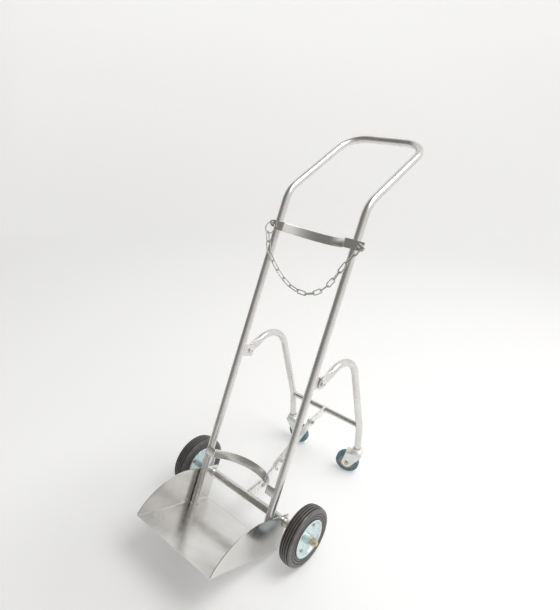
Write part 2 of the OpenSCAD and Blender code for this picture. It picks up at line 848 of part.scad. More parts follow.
// Joint k of the hanging loop, counted from the left, on a catenary
function loop_joint(k) =
    let (x = sag_a * asinh((k * link_pitch - loop_len / 2) / sag_a))
    [x, cross_pt[1], cross_pt[2] + sag_a * (cosh(x / sag_a) - cosh(sag_q))];

// A long link along local z, flat in local x and z
module chain_link() {
    half = link_half - bow_r;
    for (s = [-1, 1]) translate([s * bow_r, 0, -half]) cylinder(d = link_wire, h = 2 * half);
    for (m = [0, 1]) mirror([0, 0, m]) translate([0, 0, half]) rotate([90, 0, 0])
        rotate_extrude(angle = 180) translate([bow_r, 0]) circle(d = link_wire);
}

module chain_loop() {
    colour_zinc() for (k = [0 : loop_links - 1])
        translate((loop_joint(k) + loop_joint(k + 1)) / 2) aim(loop_joint(k + 1) - loop_joint(k))
            rotate([0, 0, k % 2 == 0 ? 90 : 0]) chain_link();
}

// Local frame of a chain end: origin at the crossing, local z up along the slanted end
module on_lead(side)
    on_frame() translate([side * cross_x, -chain_n, chain_s]) rotate([0, side * lead_slant, 0]) children();

module chain_end(side) {
    colour_zinc() on_lead(side) for (k = [0 : lead_links - 1])
        translate([0, 0, (k + 0.5) * link_pitch]) rotate([0, 0, 90 * k]) chain_link();
}

module chain_left_end() chain_end(-1);
module chain_right_end() chain_end(1);

// Ring: hangs aslant in the last link's bow and passes through the eye of the left lug
lead_top = lead_links * link_pitch - link_gap / 2;
ring_slant = 1.35;
ring_drop = ring_slant * ((link_wire + ring_wire) / 2 + link_gap);
ring_reach = lead_links * link_pitch + (link_gap + link_wire) / 2 - ring_drop;
ring_foot = [-cross_x - ring_reach * sin(lead_slant), chain_s + ring_reach * cos(lead_slant)];
lug_t = 4;
lug_x = frame_w / 2 + tube_d / 4 + lug_t / 2 + body_gap;
lug_rim = 7;
lug_hole = 9;
ring_lean = asin((ring_foot[0] + lug_x) / ring_d);
eye_s = ring_foot[1] + ring_d * cos(ring_lean);

module chain_ring() {
    colour_zinc() on_frame() translate([ring_foot[0], -chain_n, ring_foot[1]]) rotate([0, -ring_lean, 0])
        translate([0, 0, ring_d / 2]) rotate([90, 0, 0])
            rotate_extrude() translate([ring_d / 2, 0]) circle(d = ring_wire);
}

module left_chain_lug() {
    high = lug_hole + 2 * lug_rim;
    colour_steel() on_frame() difference() {
        translate([-lug_x - lug_t / 2, 0, 0]) side_plate(lug_t) difference() {
            union() {
                translate([-chain_n, eye_s]) circle(d = high);
                translate([-chain_n, eye_s - high / 2]) square([chain_n - upright_lead, high]);
            }
            translate([-chain_n, eye_s]) circle(d = lug_hole);
        }
        translate([-frame_w / 2, -upright_lead, eye_s - high]) cylinder(d = tube_d, h = 2 * high);
    }
}

// Shackle: its bow holds the right end's last link, its pin passes through the right lug
shackle_foot = lead_top - shackle_wire / 2;
shackle_top = shackle_foot + shackle_len;
pin_d = 6;
pin_head_d = 10;
pin_head_t = 5;
eye_d = shackle_wire + 5;
pad_t = shackle_w - shackle_wire - 2 * body_gap;
pad_w = 14;
ear_t = 4.5;
pin_x = cross_x + shackle_top * sin(lead_slant);
pin_s = chain_s + shackle_top * cos(lead_slant);

module shackle_bow() {
    r = shackle_w / 2;
    colour_zinc() on_lead(1) difference() {
        union() {
            translate([0, 0, shackle_foot + r]) rotate([-90, 0, 0])
                rotate_extrude(angle = 180) translate([r, 0]) circle(d = shackle_wire);
            for (s = [-1, 1]) translate([s * r, 0, shackle_foot + r])
                cylinder(d = shackle_wire, h = shackle_len - r);
            for (s = [-1, 1]) translate([s * r, 0, shackle_top]) rotate([0, 90, 0])
                cylinder(d = eye_d, h = shackle_wire, center = true);
        }
        translate([0, 0, shackle_top]) rotate([0, 90, 0])
            cylinder(d = pin_d + 2 * weld_gap, h = 4 * shackle_w, center = true);
    }
}

module shackle_pin() {
    half = (shackle_w + shackle_wire) / 2;
    colour_zinc() on_lead(1) translate([0, 0, shackle_top]) rotate([0, 90, 0]) {
        cylinder(d = pin_d, h = 2 * half, center = true);
        translate([0, 0, half]) cylinder(d = pin_head_d, h = pin_head_t);
        translate([0, 0, -half - 2]) cylinder(d = pin_d, h = 3);
    }
}

module right_chain_lug() {
    base = upright_lead + tube_d / 2;
    colour_steel() {
        on_frame() translate([frame_w / 2, -base - ear_t, pin_s - pad_w])
            cube([pin_x - frame_w / 2 + pad_w / 2, ear_t, 2 * pad_w]);
        on_lead(1) translate([0, 0, shackle_top]) difference() {
            union() {
                rotate([0, 90, 0]) cylinder(d = pad_w, h = pad_t, center = true);
                translate([-pad_t / 2, 0, -pad_w / 2]) cube([pad_t, chain_stand - ear_t / 2, pad_w]);
            }
            rotate([0, 90, 0]) cylinder(d = pin_d + 2 * weld_gap, h = 2 * pad_t, center = true);
        }
    }
}

// Joint points in the part's frame
lead_down = [sin(lead_slant), -cos(lead_slant) * sin(lean), -cos(lead_slant) * cos(lean)];
swing_pt = cross_pt + (link_wire + link_gap) / 2 * lead_down;
echo(y_mid = y_mid, wheel = [wheel_x, -y_mid, wheel_r], hinge = hinge_pt, caster = [leg_x, kink_pt[1]]);
echo(pivot_b = pivot_b, pivot_c = pivot_c, knee = knee_pt, swing = [0, swing_pt[1], swing_pt[2]]);
echo(hook_r = hook_r, strip_len = strip_len, tray_drop = tray_drop, axle_end = axle_end, pin = [pin_x, pin_s]);

frame_tube();
tray();
upper_band();
lower_band();
axle_tube();
axle_rod();
axle_washers();
axle_nuts();
left_tyre();
left_rim_outer();
left_rim_inner();
left_rim_bolts();
left_hub();
left_hub_bush();
right_tyre();
right_rim_outer();
right_rim_inner();
right_rim_bolts();
right_hub();
right_hub_bush();
left_leg_bracket();
right_leg_bracket();
leg_hinge_bolts();
leg_stop_pins();
left_leg();
right_leg();
leg_crossbar();
crossbar_lug();
crossbar_lug_bolt();
axle_lug();
axle_lug_bolt();
stay_bar();
stay_strips();
knee_rivets();
knee_stop_pin();
left_caster_head();
left_caster_fork();
left_caster_axle();
left_caster_core();
left_caster_tyre();
right_caster_head();
right_caster_fork();
right_caster_axle();
right_caster_core();
right_caster_tyre();
left_chain_lug();
right_chain_lug();
chain_ring();
chain_left_end();
chain_loop();
chain_right_end();
shackle_bow();
shackle_pin();
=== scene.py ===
# %% [markdown]
# # Gas cylinder trolley
# A leaning frame of bent stainless tube stands on two rubber wheels and on two folding legs with
# casters. A folded sheet tray carries the cylinder, two bands cradle it and a chain keeps it in.
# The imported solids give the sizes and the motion. This file dresses them: what is bent, pressed,
# turned or welded on the real trolley becomes a smooth surface here, and the rest gets its finish.

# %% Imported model
import math

import bmesh
import bpy
import numpy as np
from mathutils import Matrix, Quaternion, Vector


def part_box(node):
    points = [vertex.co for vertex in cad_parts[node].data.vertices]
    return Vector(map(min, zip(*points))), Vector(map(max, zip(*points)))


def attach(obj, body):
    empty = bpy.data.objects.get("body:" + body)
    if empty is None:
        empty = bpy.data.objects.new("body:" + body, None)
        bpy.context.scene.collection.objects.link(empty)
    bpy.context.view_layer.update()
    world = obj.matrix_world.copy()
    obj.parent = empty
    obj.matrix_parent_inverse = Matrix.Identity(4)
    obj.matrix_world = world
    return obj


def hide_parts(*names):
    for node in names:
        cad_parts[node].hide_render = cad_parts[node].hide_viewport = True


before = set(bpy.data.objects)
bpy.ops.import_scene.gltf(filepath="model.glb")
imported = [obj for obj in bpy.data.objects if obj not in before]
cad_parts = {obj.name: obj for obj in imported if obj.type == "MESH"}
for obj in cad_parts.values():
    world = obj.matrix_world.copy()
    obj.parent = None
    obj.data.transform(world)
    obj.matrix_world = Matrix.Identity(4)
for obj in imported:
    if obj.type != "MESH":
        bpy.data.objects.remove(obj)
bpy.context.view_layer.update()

# %% [markdown]
# ## The leaning frame
# Nearly everything on the trolley is square to the uprights, which lean back by 26 degrees. It is
# easier to draw a piece upright, with the wheel axle as zero, and lean it afterwards. Turning the
# Blender object would do that too, but a pattern on Object coordinates would then turn with it, so
# the points themselves are leaned and every object stays unturned at the origin.

# %% Lean and axle
LEAN = math.radians(26)
AXLE = np.array([0.0, -0.215659, 0.1])
UPRIGHT_X, UPRIGHT_Y, UPRIGHT_TOP = 0.154, -0.071, 1.03


def leaned(points):
    """Points drawn on the upright frame (x across, y to the rear, z up, axle as zero), leaned back:
    y' = y cos L + z sin L, z' = z cos L - y sin L, then moved to the axle."""
    x, y, z = np.moveaxis(np.asarray(points, float), -1, 0)
    c, s = math.cos(LEAN), math.sin(LEAN)
    return np.stack([x, y * c + z * s, z * c - y * s], -1) + AXLE


print("top of the uprights:", leaned([UPRIGHT_X, UPRIGHT_Y, UPRIGHT_TOP]).round(3))

# %% [markdown]
# ## From a grid of points to a piece
# Each new piece is one or more grids of points: rows run along a path or an axis, columns run round
# a section. Neighbouring points make the faces. A ring closes on itself, and a cap closes an open
# end. Blender's own primitives could be placed instead, but a grid holds any curve with the same
# few lines, and its size is always the drawing's.

# %% Grid helper


def grid_faces(rows, cols, ring_rows, ring_cols):
    """Four corners of every cell of a grid; a ring's last row or column meets its first."""
    r = np.arange(rows if ring_rows else rows - 1)[:, None]
    c = np.arange(cols if ring_cols else cols - 1)[None, :]
    r2, c2 = (r + 1) % rows, (c + 1) % cols
    corners = (r * cols + c, r * cols + c2, r2 * cols + c2, r2 * cols + c)
    return np.stack(np.broadcast_arrays(*corners), -1).reshape(-1, 4)


def make_mesh(name, grids, sharp=40):
    """One mesh from grids of (points, kind); kind is ring (both ways), tube (capped) or sheet. The
    shading is smooth, apart from edges where the faces turn by more than sharp degrees."""
    points, faces, start = [], [], 0
    for grid, kind in grids:
        rows, cols = grid.shape[:2]
        faces += (grid_faces(rows, cols, kind == "ring", kind != "sheet") + start).tolist()
        if kind == "tube":
            first = np.arange(cols) + start
            faces += [first.tolist(), (first + (rows - 1) * cols).tolist()]
        points.append(grid.reshape(-1, 3))
        start += rows * cols
    mesh = bpy.data.meshes.new(name)
    mesh.from_pydata(np.concatenate(points).tolist(), [], faces)
    work = bmesh.new()
    work.from_mesh(mesh)
    bmesh.ops.recalc_face_normals(work, faces=work.faces)
    work.to_mesh(mesh)
    work.free()
    mesh.shade_smooth()
    mesh.set_sharp_from_angle(angle=math.radians(sharp))
    return mesh


print("cells of a closed grid, 4 by 6 points:", len(grid_faces(4, 6, True, True)))

# %% [markdown]
# A mesh becomes a piece of the trolley when it has a finish, rides on one of the bodies that move,
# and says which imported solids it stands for, if any. Each piece could do this for itself, but with one
# helper no piece can miss a step.

# %% Piece helper


def add_piece(name, body, material, grids, stands_for=(), sharp=40):
    """A piece from its grids, riding on a body, in place of the solids that it stands for."""
    mesh = make_mesh(name, grids, sharp)
    mesh.materials.append(material)
    piece = bpy.data.objects.new(name, mesh)
    bpy.context.collection.objects.link(piece)
    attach(piece, body)
    if stands_for:
        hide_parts(*stands_for)
    print(f"{name}: {len(mesh.vertices)} points, {len(mesh.polygons)} faces, on {body}")
    return piece


# %% [markdown]
# ## Camera
# The photograph looks down on the tray from its front right corner. The view could be set by eye,
# but a small error in the lens shows in every line. So the camera was found by fitting known points
# of the trolley to their pixels: the lens is a short one, and near pieces look larger.

# %% Camera
camera = bpy.data.objects.new("camera", bpy.data.cameras.new("camera"))
bpy.context.collection.objects.link(camera)
camera.data.sensor_width = 36
camera.data.lens = 30.383
camera.location = (0.9525, -1.1358, 1.43075)
look = Vector((-0.59707, 0.68233, -0.42182)).to_track_quat("-Z", "Y")
roll = Quaternion((0, 0, 1), 0.003867)
camera.rotation_mode = "QUATERNION"
camera.rotation_quaternion = look @ roll
camera.data.clip_end = 60
bpy.context.scene.camera = camera
print("camera at", tuple(round(v, 3) for v in camera.location))

# %% [markdown]
# ## Floor, backdrop and light
# The trolley stands on a white studio sweep: one sheet that runs along the floor and curves up into
# a wall. A floor plane and a wall plane would do for the shadow, but their corner would show, also
# as a line in the bare metal.

# %% Studio sweep
AWAY = np.array([-0.6585, 0.7525, 0.0])
SIDEWAYS = np.array([0.7525, 0.6585, 0.0])
UP = np.array([0, 0, 1.0])


def studio_sweep(front, reach, bend, height, half):
    """Floor line, quarter circle and wall line, carried sideways across the camera's direction."""
    a = np.linspace(0, math.pi / 2, 25)
    along = np.concatenate([[-front], reach + bend * np.sin(a), [reach + bend]])
    up = np.concatenate([[0.0], bend * (1 - np.cos(a)), [height]])
    line = along[:, None, None] * AWAY + up[:, None, None] * UP
    return line + half * np.array([-1.0, 1.0])[None, :, None] * SIDEWAYS


sweep_grid = studio_sweep(front=20.0, reach=3.2, bend=2.0, height=9.0, half=30.0)
sweep_mesh = make_mesh("studio_sweep", [(sweep_grid, "sheet")])
sweep = bpy.data.objects.new("studio_sweep", sweep_mesh)
bpy.context.collection.objects.link(sweep)
print("sweep:", len(sweep_mesh.polygons), "faces")

# %% [markdown]
# The paper's glow is painted light: it keeps the paper pale far from the lamp, and it is weaker
# under the tray, a painted shadow that deepens the lamp's shadow there. Far to the left of the picture
# its colour and glow fade to grey, painted shade for the dark side of the room, without an edge that
# the tubes could mirror. More lamps would also keep the paper pale, but each of them would show in
# the bare metal.

# %% Paper helpers
paper = bpy.data.materials.new("white_paper")
paper.use_nodes = True
paper_tree = paper.node_tree
paper_links = paper_tree.links
paper_shader = paper_tree.nodes["Principled BSDF"]
paper_shader.inputs["Roughness"].default_value = 0.9
paper_shader.inputs["Emission Color"].default_value = (1, 1, 1, 1)


def paper_step(kind, operation=None, sockets=()):
    """One node of the paper's pattern, with values for its sockets as (socket, value) pairs."""
    step = paper_tree.nodes.new(kind)
    if operation:
        step.operation = operation
    for socket, value in sockets:
        step.inputs[socket].default_value = value
    return step


def grey_steps(value, levels):
    """A grey ramp over a value, from (place, level) pairs."""
    ramp = paper_tree.nodes.new("ShaderNodeValToRGB")
    stops = ramp.color_ramp.elements
    for stop, (place, level) in zip(stops, (levels[0], levels[-1])):
        stop.position = place
        stop.color = (level, level, level, 1)
    for place, level in levels[1:-1]:
        stops.new(place).color = (level, level, level, 1)
    paper_links.new(value, ramp.inputs["Fac"])
    return ramp.outputs["Color"]


print("paper:", paper.name)

# %% [markdown]
# Two measures make the pattern: how far a spot is from the shadow under the tray, and how far it lies
# to the left. Each goes through ramps of grey. The glow, which is painted light, is the product of two
# of them, and a third ramp darkens the paper's colour to the left as painted shade. It could be
# painted as a picture, but a ramp is easier to change.

# %% Paper
# painted light and shade: the glow is lowest near the tray's shadow as a painted shadow, and the paper's
# glow and grey fall off to the left as painted shade
SHADOW_SPOT, GLOW_REACH = (-0.15, -0.62, 0.0), 24.0
LEFT_START, LEFT_END = -3.0, -18.0
PAINTED_LIGHT_LEVELS = [(0.008, 0.16), (0.028, 0.28), (0.15, 0.25), (0.25, 0.35), (1.0, 0.60)]
LEFT_PAINTED_SHADE_GLOW = [(0.0, 1.0), (1.0, 0.12)]
LEFT_PAINTED_SHADE_GREY = [(0.0, 0.80), (0.4, 0.45), (1.0, 0.32)]
spot = paper_step("ShaderNodeTexCoord").outputs["Object"]
from_tray = paper_step("ShaderNodeVectorMath", "DISTANCE", [(1, SHADOW_SPOT)])
to_side = paper_step("ShaderNodeVectorMath", "DOT_PRODUCT", [(1, tuple(SIDEWAYS))])
near = paper_step("ShaderNodeMapRange", None, [("From Max", GLOW_REACH)])
left = paper_step("ShaderNodeMapRange", None, [("From Min", LEFT_START), ("From Max", LEFT_END)])
for measure, share in ((from_tray, near), (to_side, left)):
    paper_links.new(spot, measure.inputs[0])
    paper_links.new(measure.outputs["Value"], share.inputs["Value"])
lit = paper_step("ShaderNodeMath", "MULTIPLY")
paper_links.new(grey_steps(near.outputs["Result"], PAINTED_LIGHT_LEVELS), lit.inputs[0])
paper_links.new(grey_steps(left.outputs["Result"], LEFT_PAINTED_SHADE_GLOW), lit.inputs[1])
paper_links.new(lit.outputs["Value"], paper_shader.inputs["Emission Strength"])
paper_links.new(grey_steps(left.outputs["Result"], LEFT_PAINTED_SHADE_GREY), paper_shader.inputs["Base Color"])
sweep.data.materials.append(paper)
print("paper:", len(paper_tree.nodes), "nodes")

# %% [markdown]
# Bare metal has no colour of its own to show and only mirrors the room, so the room matters as much
# as the lamp. It fades from white on the right to grey on the left: the grey side draws the dark
# flank along each tube and darkens the bands' flat tabs. A picture of a real studio would do the
# same, but a ramp over the direction is plain and needs no file.

# %% Room
DARK_WAY = (-0.85, -0.35, 0.40)
ROOM_LEVELS = ((0.25, 0.80), (0.45, 0.48), (0.65, 0.31), (0.80, 0.24))
WARM_GREY = np.array([1.0, 0.985, 0.955])
world = bpy.data.worlds.new("studio_room")
bpy.context.scene.world = world
world.use_nodes = True
room, room_links = world.node_tree.nodes, world.node_tree.links
heading = room.new("ShaderNodeTexCoord")
facing = room.new("ShaderNodeVectorMath")
facing.operation = "DOT_PRODUCT"
facing.inputs[1].default_value = DARK_WAY
spread = room.new("ShaderNodeMapRange")
spread.inputs["From Min"].default_value = -1.0
shade = room.new("ShaderNodeValToRGB")
shade.color_ramp.elements[0].color = (0.96, 0.95, 0.945, 1)
shade.color_ramp.elements[1].color = (0.23, 0.22, 0.205, 1)
for place, level in ROOM_LEVELS:
    shade.color_ramp.elements.new(place).color = (*(level * WARM_GREY), 1)
room_links.new(heading.outputs["Generated"], facing.inputs[0])
room_links.new(facing.outputs["Value"], spread.inputs["Value"])
room_links.new(spread.outputs["Result"], shade.inputs["Fac"])
room_links.new(shade.outputs["Color"], room["Background"].inputs["Color"])
room["Background"].inputs["Strength"].default_value = 1.0
print("room levels:", len(shade.color_ramp.elements))

# %% [markdown]
# One large soft lamp hangs high on the right of the picture. A small lamp would draw hard shadows,
# which the photograph doesn't have. Its power was set by comparing renders with the photograph.

# %% Lamp


def soft_lamp(name, place, target, size, energy):
    """A square area lamp at a place, turned towards a target."""
    lamp = bpy.data.objects.new(name, bpy.data.lights.new(name, "AREA"))
    lamp.data.shape = "SQUARE"
    lamp.data.size = size
    lamp.data.energy = energy
    lamp.location = place
    lamp.rotation_euler = (Vector(target) - Vector(place)).to_track_quat("-Z", "Y").to_euler()
    bpy.context.collection.objects.link(lamp)


soft_lamp("key_lamp", place=(1.4, 0.8, 3.2), target=(0, 0, 0.3), size=2.0, energy=58)

# %% [markdown]
# ## Finishes
# All finishes share one recipe. A noise pattern, read from Object coordinates and stretched where
# the real finish has a direction, drives a little colour, some roughness and a fine bump. A picture
# of each surface could be wrapped round it instead, but it would need unwrapped faces and a file.
# The pattern's scale tells the finishes apart: polishing lines are hair-thin, zinc has cloudy
# patches of a few millimetres, and rubber is dusty in soft spots.

# %% Finish helpers


def noise_in(tree, scale, detail=4.0, stretch=(1, 1, 1), turn=(0, 0, 0)):
    """Noise on the piece's own coordinates; stretch multiplies the scale along each turned axis."""
    place = tree.nodes.new("ShaderNodeTexCoord")
    fit = tree.nodes.new("ShaderNodeMapping")
    fit.vector_type = "TEXTURE" if any(turn) else "POINT"
    fit.inputs["Rotation"].default_value = turn
    grain = tree.nodes.new("ShaderNodeMapping")
    grain.inputs["Scale"].default_value = stretch
    noise = tree.nodes.new("ShaderNodeTexNoise")
    noise.inputs["Scale"].default_value = scale
    noise.inputs["Detail"].default_value = detail
    tree.links.new(place.outputs["Object"], fit.inputs["Vector"])
    tree.links.new(fit.outputs["Vector"], grain.inputs["Vector"])
    tree.links.new(grain.outputs["Vector"], noise.inputs["Vector"])
    return noise.outputs["Fac"]


def between(tree, value, low, high, start=0.3, stop=0.7):
    """A value's range from start to stop, spread between low and high."""
    spread = tree.nodes.new("ShaderNodeMapRange")
    spread.inputs["From Min"].default_value = start
    spread.inputs["From Max"].default_value = stop
    spread.inputs["To Min"].default_value = low
    spread.inputs["To Max"].default_value = high
    tree.links.new(value, spread.inputs["Value"])
    return spread.outputs["Result"]


def tinted(tree, value, low_colour, high_colour, start=0.3, stop=0.7):
    """Two colours, mixed by a value between start and stop."""
    ramp = tree.nodes.new("ShaderNodeValToRGB")
    ramp.color_ramp.elements[0].position = start
    ramp.color_ramp.elements[0].color = (*low_colour, 1)
    ramp.color_ramp.elements[1].position = stop
    ramp.color_ramp.elements[1].color = (*high_colour, 1)
    tree.links.new(value, ramp.inputs["Fac"])
    return ramp.outputs["Color"]


def new_finish(name, metallic, colour, roughness, bump, bump_height, bump_strength, gloss=0.5):
    """A finish from three patterns: (noise, low, high) for colour and for roughness, and noise for a
    bump. Gloss is the shader's specular level."""
    material = bpy.data.materials.new(name)
    material.use_nodes = True
    tree = material.node_tree
    shader = tree.nodes["Principled BSDF"]
    shader.inputs["Metallic"].default_value = metallic
    shader.inputs["Specular IOR Level"].default_value = gloss
    colours = tinted(tree, noise_in(tree, *colour[0]), *colour[1:])
    tree.links.new(colours, shader.inputs["Base Color"])
    dullness = between(tree, noise_in(tree, *roughness[0]), *roughness[1:])
    tree.links.new(dullness, shader.inputs["Roughness"])
    relief = tree.nodes.new("ShaderNodeBump")
    relief.inputs["Strength"].default_value = bump_strength
    relief.inputs["Distance"].default_value = bump_height
    tree.links.new(noise_in(tree, *bump), relief.inputs["Height"])
    tree.links.new(relief.outputs["Normal"], shader.inputs["Normal"])
    print("finish:", name)
    return material


# %% [markdown]
# The tubes are satin stainless steel, dull enough to blur what they mirror. The sheet of the tray and
# the bands has fine lines across it, so its bump is stretched across the trolley and leans with it.
# The shader's anisotropy could show such lines too, but it would need a tangent along the sheet. The
# welds are darker and rough, because the heat has tinted them.

# %% Bare steel
ACROSS = (0.02, 1.0, 1.0)
satin_tube = new_finish(
    "satin_stainless_tube", metallic=1.0,
    colour=((14, 3.0), (0.67, 0.655, 0.64), (0.75, 0.735, 0.72)),
    roughness=((24, 3.0), 0.23, 0.31),
    bump=(300, 2.0), bump_height=0.00002, bump_strength=0.015)
brushed_sheet = new_finish(
    "mill_stainless_sheet", metallic=1.0,
    colour=((7, 4.0), (0.70, 0.695, 0.67), (0.80, 0.79, 0.77)),
    roughness=((30, 5.0), 0.17, 0.27),
    bump=(260, 2.0, ACROSS, (LEAN, 0, 0)), bump_height=0.00002, bump_strength=0.04)
weld_steel = new_finish(
    "weld_bead_stainless", metallic=1.0,
    colour=((140, 3.0), (0.36, 0.33, 0.29), (0.58, 0.56, 0.53)),
    roughness=((300, 3.0), 0.26, 0.48),
    bump=(700, 3.0), bump_height=0.0003, bump_strength=0.25)

# %% [markdown]
# Bought parts are plated. The stay's strips and the casters are nearly white, the rims have a pale
# blue tint, the chain and the bolts are darker, and the axle's nuts are yellow. A full metal would
# mirror too much here, so the paler platings are only part metallic.

# %% Plated steel
pale_strip = new_finish(
    "pale_zinc_strip", metallic=0.45,
    colour=((40, 3.0), (0.84, 0.84, 0.83), (0.91, 0.91, 0.90)),
    roughness=((50, 3.0), 0.24, 0.34),
    bump=(300, 2.0), bump_height=0.00002, bump_strength=0.04)
white_zinc = new_finish(
    "white_zinc_plate", metallic=0.40,
    colour=((95, 4.0), (0.78, 0.81, 0.785), (0.88, 0.90, 0.875)),
    roughness=((60, 4.0), 0.24, 0.40),
    bump=(420, 3.0), bump_height=0.0002, bump_strength=0.08)
bright_zinc = new_finish(
    "bright_zinc_plate", metallic=0.65,
    colour=((95, 4.0), (0.63, 0.74, 0.76), (0.78, 0.86, 0.87)),
    roughness=((60, 4.0), 0.24, 0.42),
    bump=(420, 3.0), bump_height=0.0002, bump_strength=0.10)
chain_zinc = new_finish(
    "chain_zinc_plate", metallic=0.9,
    colour=((220, 3.0), (0.36, 0.35, 0.33), (0.58, 0.57, 0.54)),
    roughness=((180, 3.0), 0.22, 0.36),
    bump=(900, 3.0), bump_height=0.0002, bump_strength=0.14)
yellow_zinc = new_finish(
    "yellow_zinc_plate", metallic=0.9,
    colour=((150, 3.0), (0.50, 0.43, 0.30), (0.68, 0.60, 0.46)),
    roughness=((120, 3.0), 0.26, 0.44),
    bump=(700, 3.0), bump_height=0.0002, bump_strength=0.12)

# %% [markdown]
# The tyres are black rubber, greyed by dust where they are touched, and darker in the grooves, where
# the darker rubber is painted shade. Painted points could darken the grooves, but two finishes on one
# mesh are simpler. The casters have blue rubber on a core of tan plastic.

# %% Rubber and plastic
black_rubber = new_finish(
    "black_tyre_rubber", metallic=0.0,
    colour=((70, 5.0), (0.060, 0.055, 0.052), (0.130, 0.119, 0.112)),
    roughness=((130, 4.0), 0.28, 0.42),
    bump=(1100, 4.0), bump_height=0.0004, bump_strength=0.18, gloss=1.0)
# painted shade: a darker rubber for the faces in the grooves and between the rings of the tyres
groove_shade_rubber = new_finish(
    "groove_painted_shade_rubber", metallic=0.0,
    colour=((90, 4.0), (0.018, 0.016, 0.015), (0.042, 0.038, 0.036)),
    roughness=((130, 4.0), 0.40, 0.55),
    bump=(1100, 4.0), bump_height=0.0004, bump_strength=0.18)
blue_rubber = new_finish(
    "blue_caster_rubber", metallic=0.0,
    colour=((90, 4.0), (0.070, 0.165, 0.215), (0.120, 0.245, 0.305)),
    roughness=((150, 4.0), 0.42, 0.60),
    bump=(900, 3.0), bump_height=0.0003, bump_strength=0.14)
tan_plastic = new_finish(
    "tan_core_plastic", metallic=0.0,
    colour=((110, 4.0), (0.42, 0.265, 0.160), (0.56, 0.380, 0.245)),
    roughness=((180, 4.0), 0.40, 0.58),
    bump=(1200, 3.0), bump_height=0.0002, bump_strength=0.10)

# %% [markdown]
# ## Bent paths
# Tubes, bands and legs are all straight bar that a bender has turned at a few places. A Bezier curve
# with a bevel could follow them, but its bends are not true arcs. Here a path is walked as the bender
# works: so far straight on, then an arc of a radius through an angle. The walk also keeps its
# heading, which is what a section needs to stand square to the path.

# %% Path walker


def bent_path(start, heading, steps, spacing=0.004, straight=0.05, fewest=6):
    """Points and headings in a plane. Each step is (straight length, radius, turn); a positive turn
    goes to the left. On an arc: point = centre + r (sin h, -cos h), h growing by the turn."""
    places, ways, here = [], [], np.asarray(start, float)
    for length, radius, turn in steps:
        way = np.array([math.cos(heading), math.sin(heading)])
        if length > 0:
            t = np.linspace(0, length, 2 + int(length / straight))
            places.append(here + t[:, None] * way)
            ways.append(np.full_like(t, heading))
            here = here + length * way
        if turn:
            count = max(fewest, int(abs(turn) * radius / spacing))
            h = heading + np.linspace(0, turn, count + 1)
            side = math.copysign(radius, turn)
            centre = here + side * np.array([-math.sin(heading), math.cos(heading)])
            arc = centre + side * np.stack([np.sin(h), -np.cos(h)], -1)
            places.append(arc)
            ways.append(h)
            here, heading = arc[-1], h[-1]
    places, ways = np.concatenate(places), np.concatenate(ways)
    keep = np.concatenate([[True], np.linalg.norm(np.diff(places, axis=0), axis=1) > 1e-7])
    return places[keep], ways[keep]


quarter_turn, _ = bent_path((0, 0), 0.0, [(0, 0.08, math.pi / 2)])
print("a quarter turn of 80 mm radius ends at", quarter_turn[-1].round(3))

# %% [markdown]
# A section is a closed line of (u, v) pairs. Carried along a path, it makes the skin of a bar. The
# bevel of a Blender curve carries a section too, but turns it by a rule of its own. Here the section's
# two directions are given at every point of the path.

# %% Sections


def round_section(radius, turns=40):
    """Circle of a radius, as (u, v) pairs."""
    a = np.linspace(0, 2 * math.pi, turns, endpoint=False)
    return radius * np.stack([np.cos(a), np.sin(a)], -1)


def eased_bar(thick, high, corner, turns=6):
    """Rectangle thick by high with rounded corners, as (u, v) pairs."""
    a = np.linspace(0, math.pi / 2, turns)[None, :] + np.arange(4)[:, None] * math.pi / 2
    quadrants = np.array([[1, 1], [-1, 1], [-1, -1], [1, -1]])
    mid = quadrants[:, None, :] * [thick / 2 - corner, high / 2 - corner]
    return (mid + corner * np.stack([np.cos(a), np.sin(a)], -1)).reshape(-1, 2)


def carried(path, first, second, section):
    """A section carried along a path: point(i, j) = path_i + u_j first_i + v_j second_i."""
    u, v = section[None, :, 0, None], section[None, :, 1, None]
    return path[:, None, :] + u * first[:, None, :] + v * second[:, None, :]


print("points round a bar:", len(eased_bar(0.004, 0.030, 0.001)))

# %% [markdown]
# ## Main tube
# One length of tube makes both uprights, the handle's sides and the hand bar. A curve with a round
# bevel could follow it, but its section can twist where the plane of the bends changes. Seen from the
# side the tube bends back once; seen square to the handle it turns two corners. The section's two
# directions change plane in the straight between those bends, where both agree, so the skin never
# twists.

# %% Main tube
TUBE_R, FLOOR_Z = 0.0125, -0.0998135
BEND, BEND_R, CORNER_R = math.radians(43), 0.09, 0.08
REACH, NECK = 0.375, 0.1
bend_run = BEND_R * math.tan(BEND / 2)

# side view: (y, z), heading straight up, bending to the rear
side_line, side_way = bent_path(
    (UPRIGHT_Y, FLOOR_Z), math.pi / 2,
    [(UPRIGHT_TOP - FLOOR_Z - bend_run, BEND_R, -BEND), (NECK, 0, 0)])
upright = np.stack([np.full(len(side_line), -UPRIGHT_X), *side_line.T], -1)
upright_way = np.stack([np.zeros(len(side_way)), np.cos(side_way), np.sin(side_way)], -1)

# handle, seen square on: (x, reach), from the end of the side view to the middle of the hand bar
slope = np.array([0, math.sin(BEND), math.cos(BEND)])
corner_line, corner_way = bent_path(
    (-UPRIGHT_X, 0), math.pi / 2,
    [(REACH - bend_run - NECK - CORNER_R, CORNER_R, -math.pi / 2), (UPRIGHT_X - CORNER_R, 0, 0)])
handle = upright[-1] * [0, 1, 1] + corner_line[:, :1] * [1, 0, 0] + corner_line[:, 1:] * slope
handle_way = np.cos(corner_way)[:, None] * [1, 0, 0] + np.sin(corner_way)[:, None] * slope

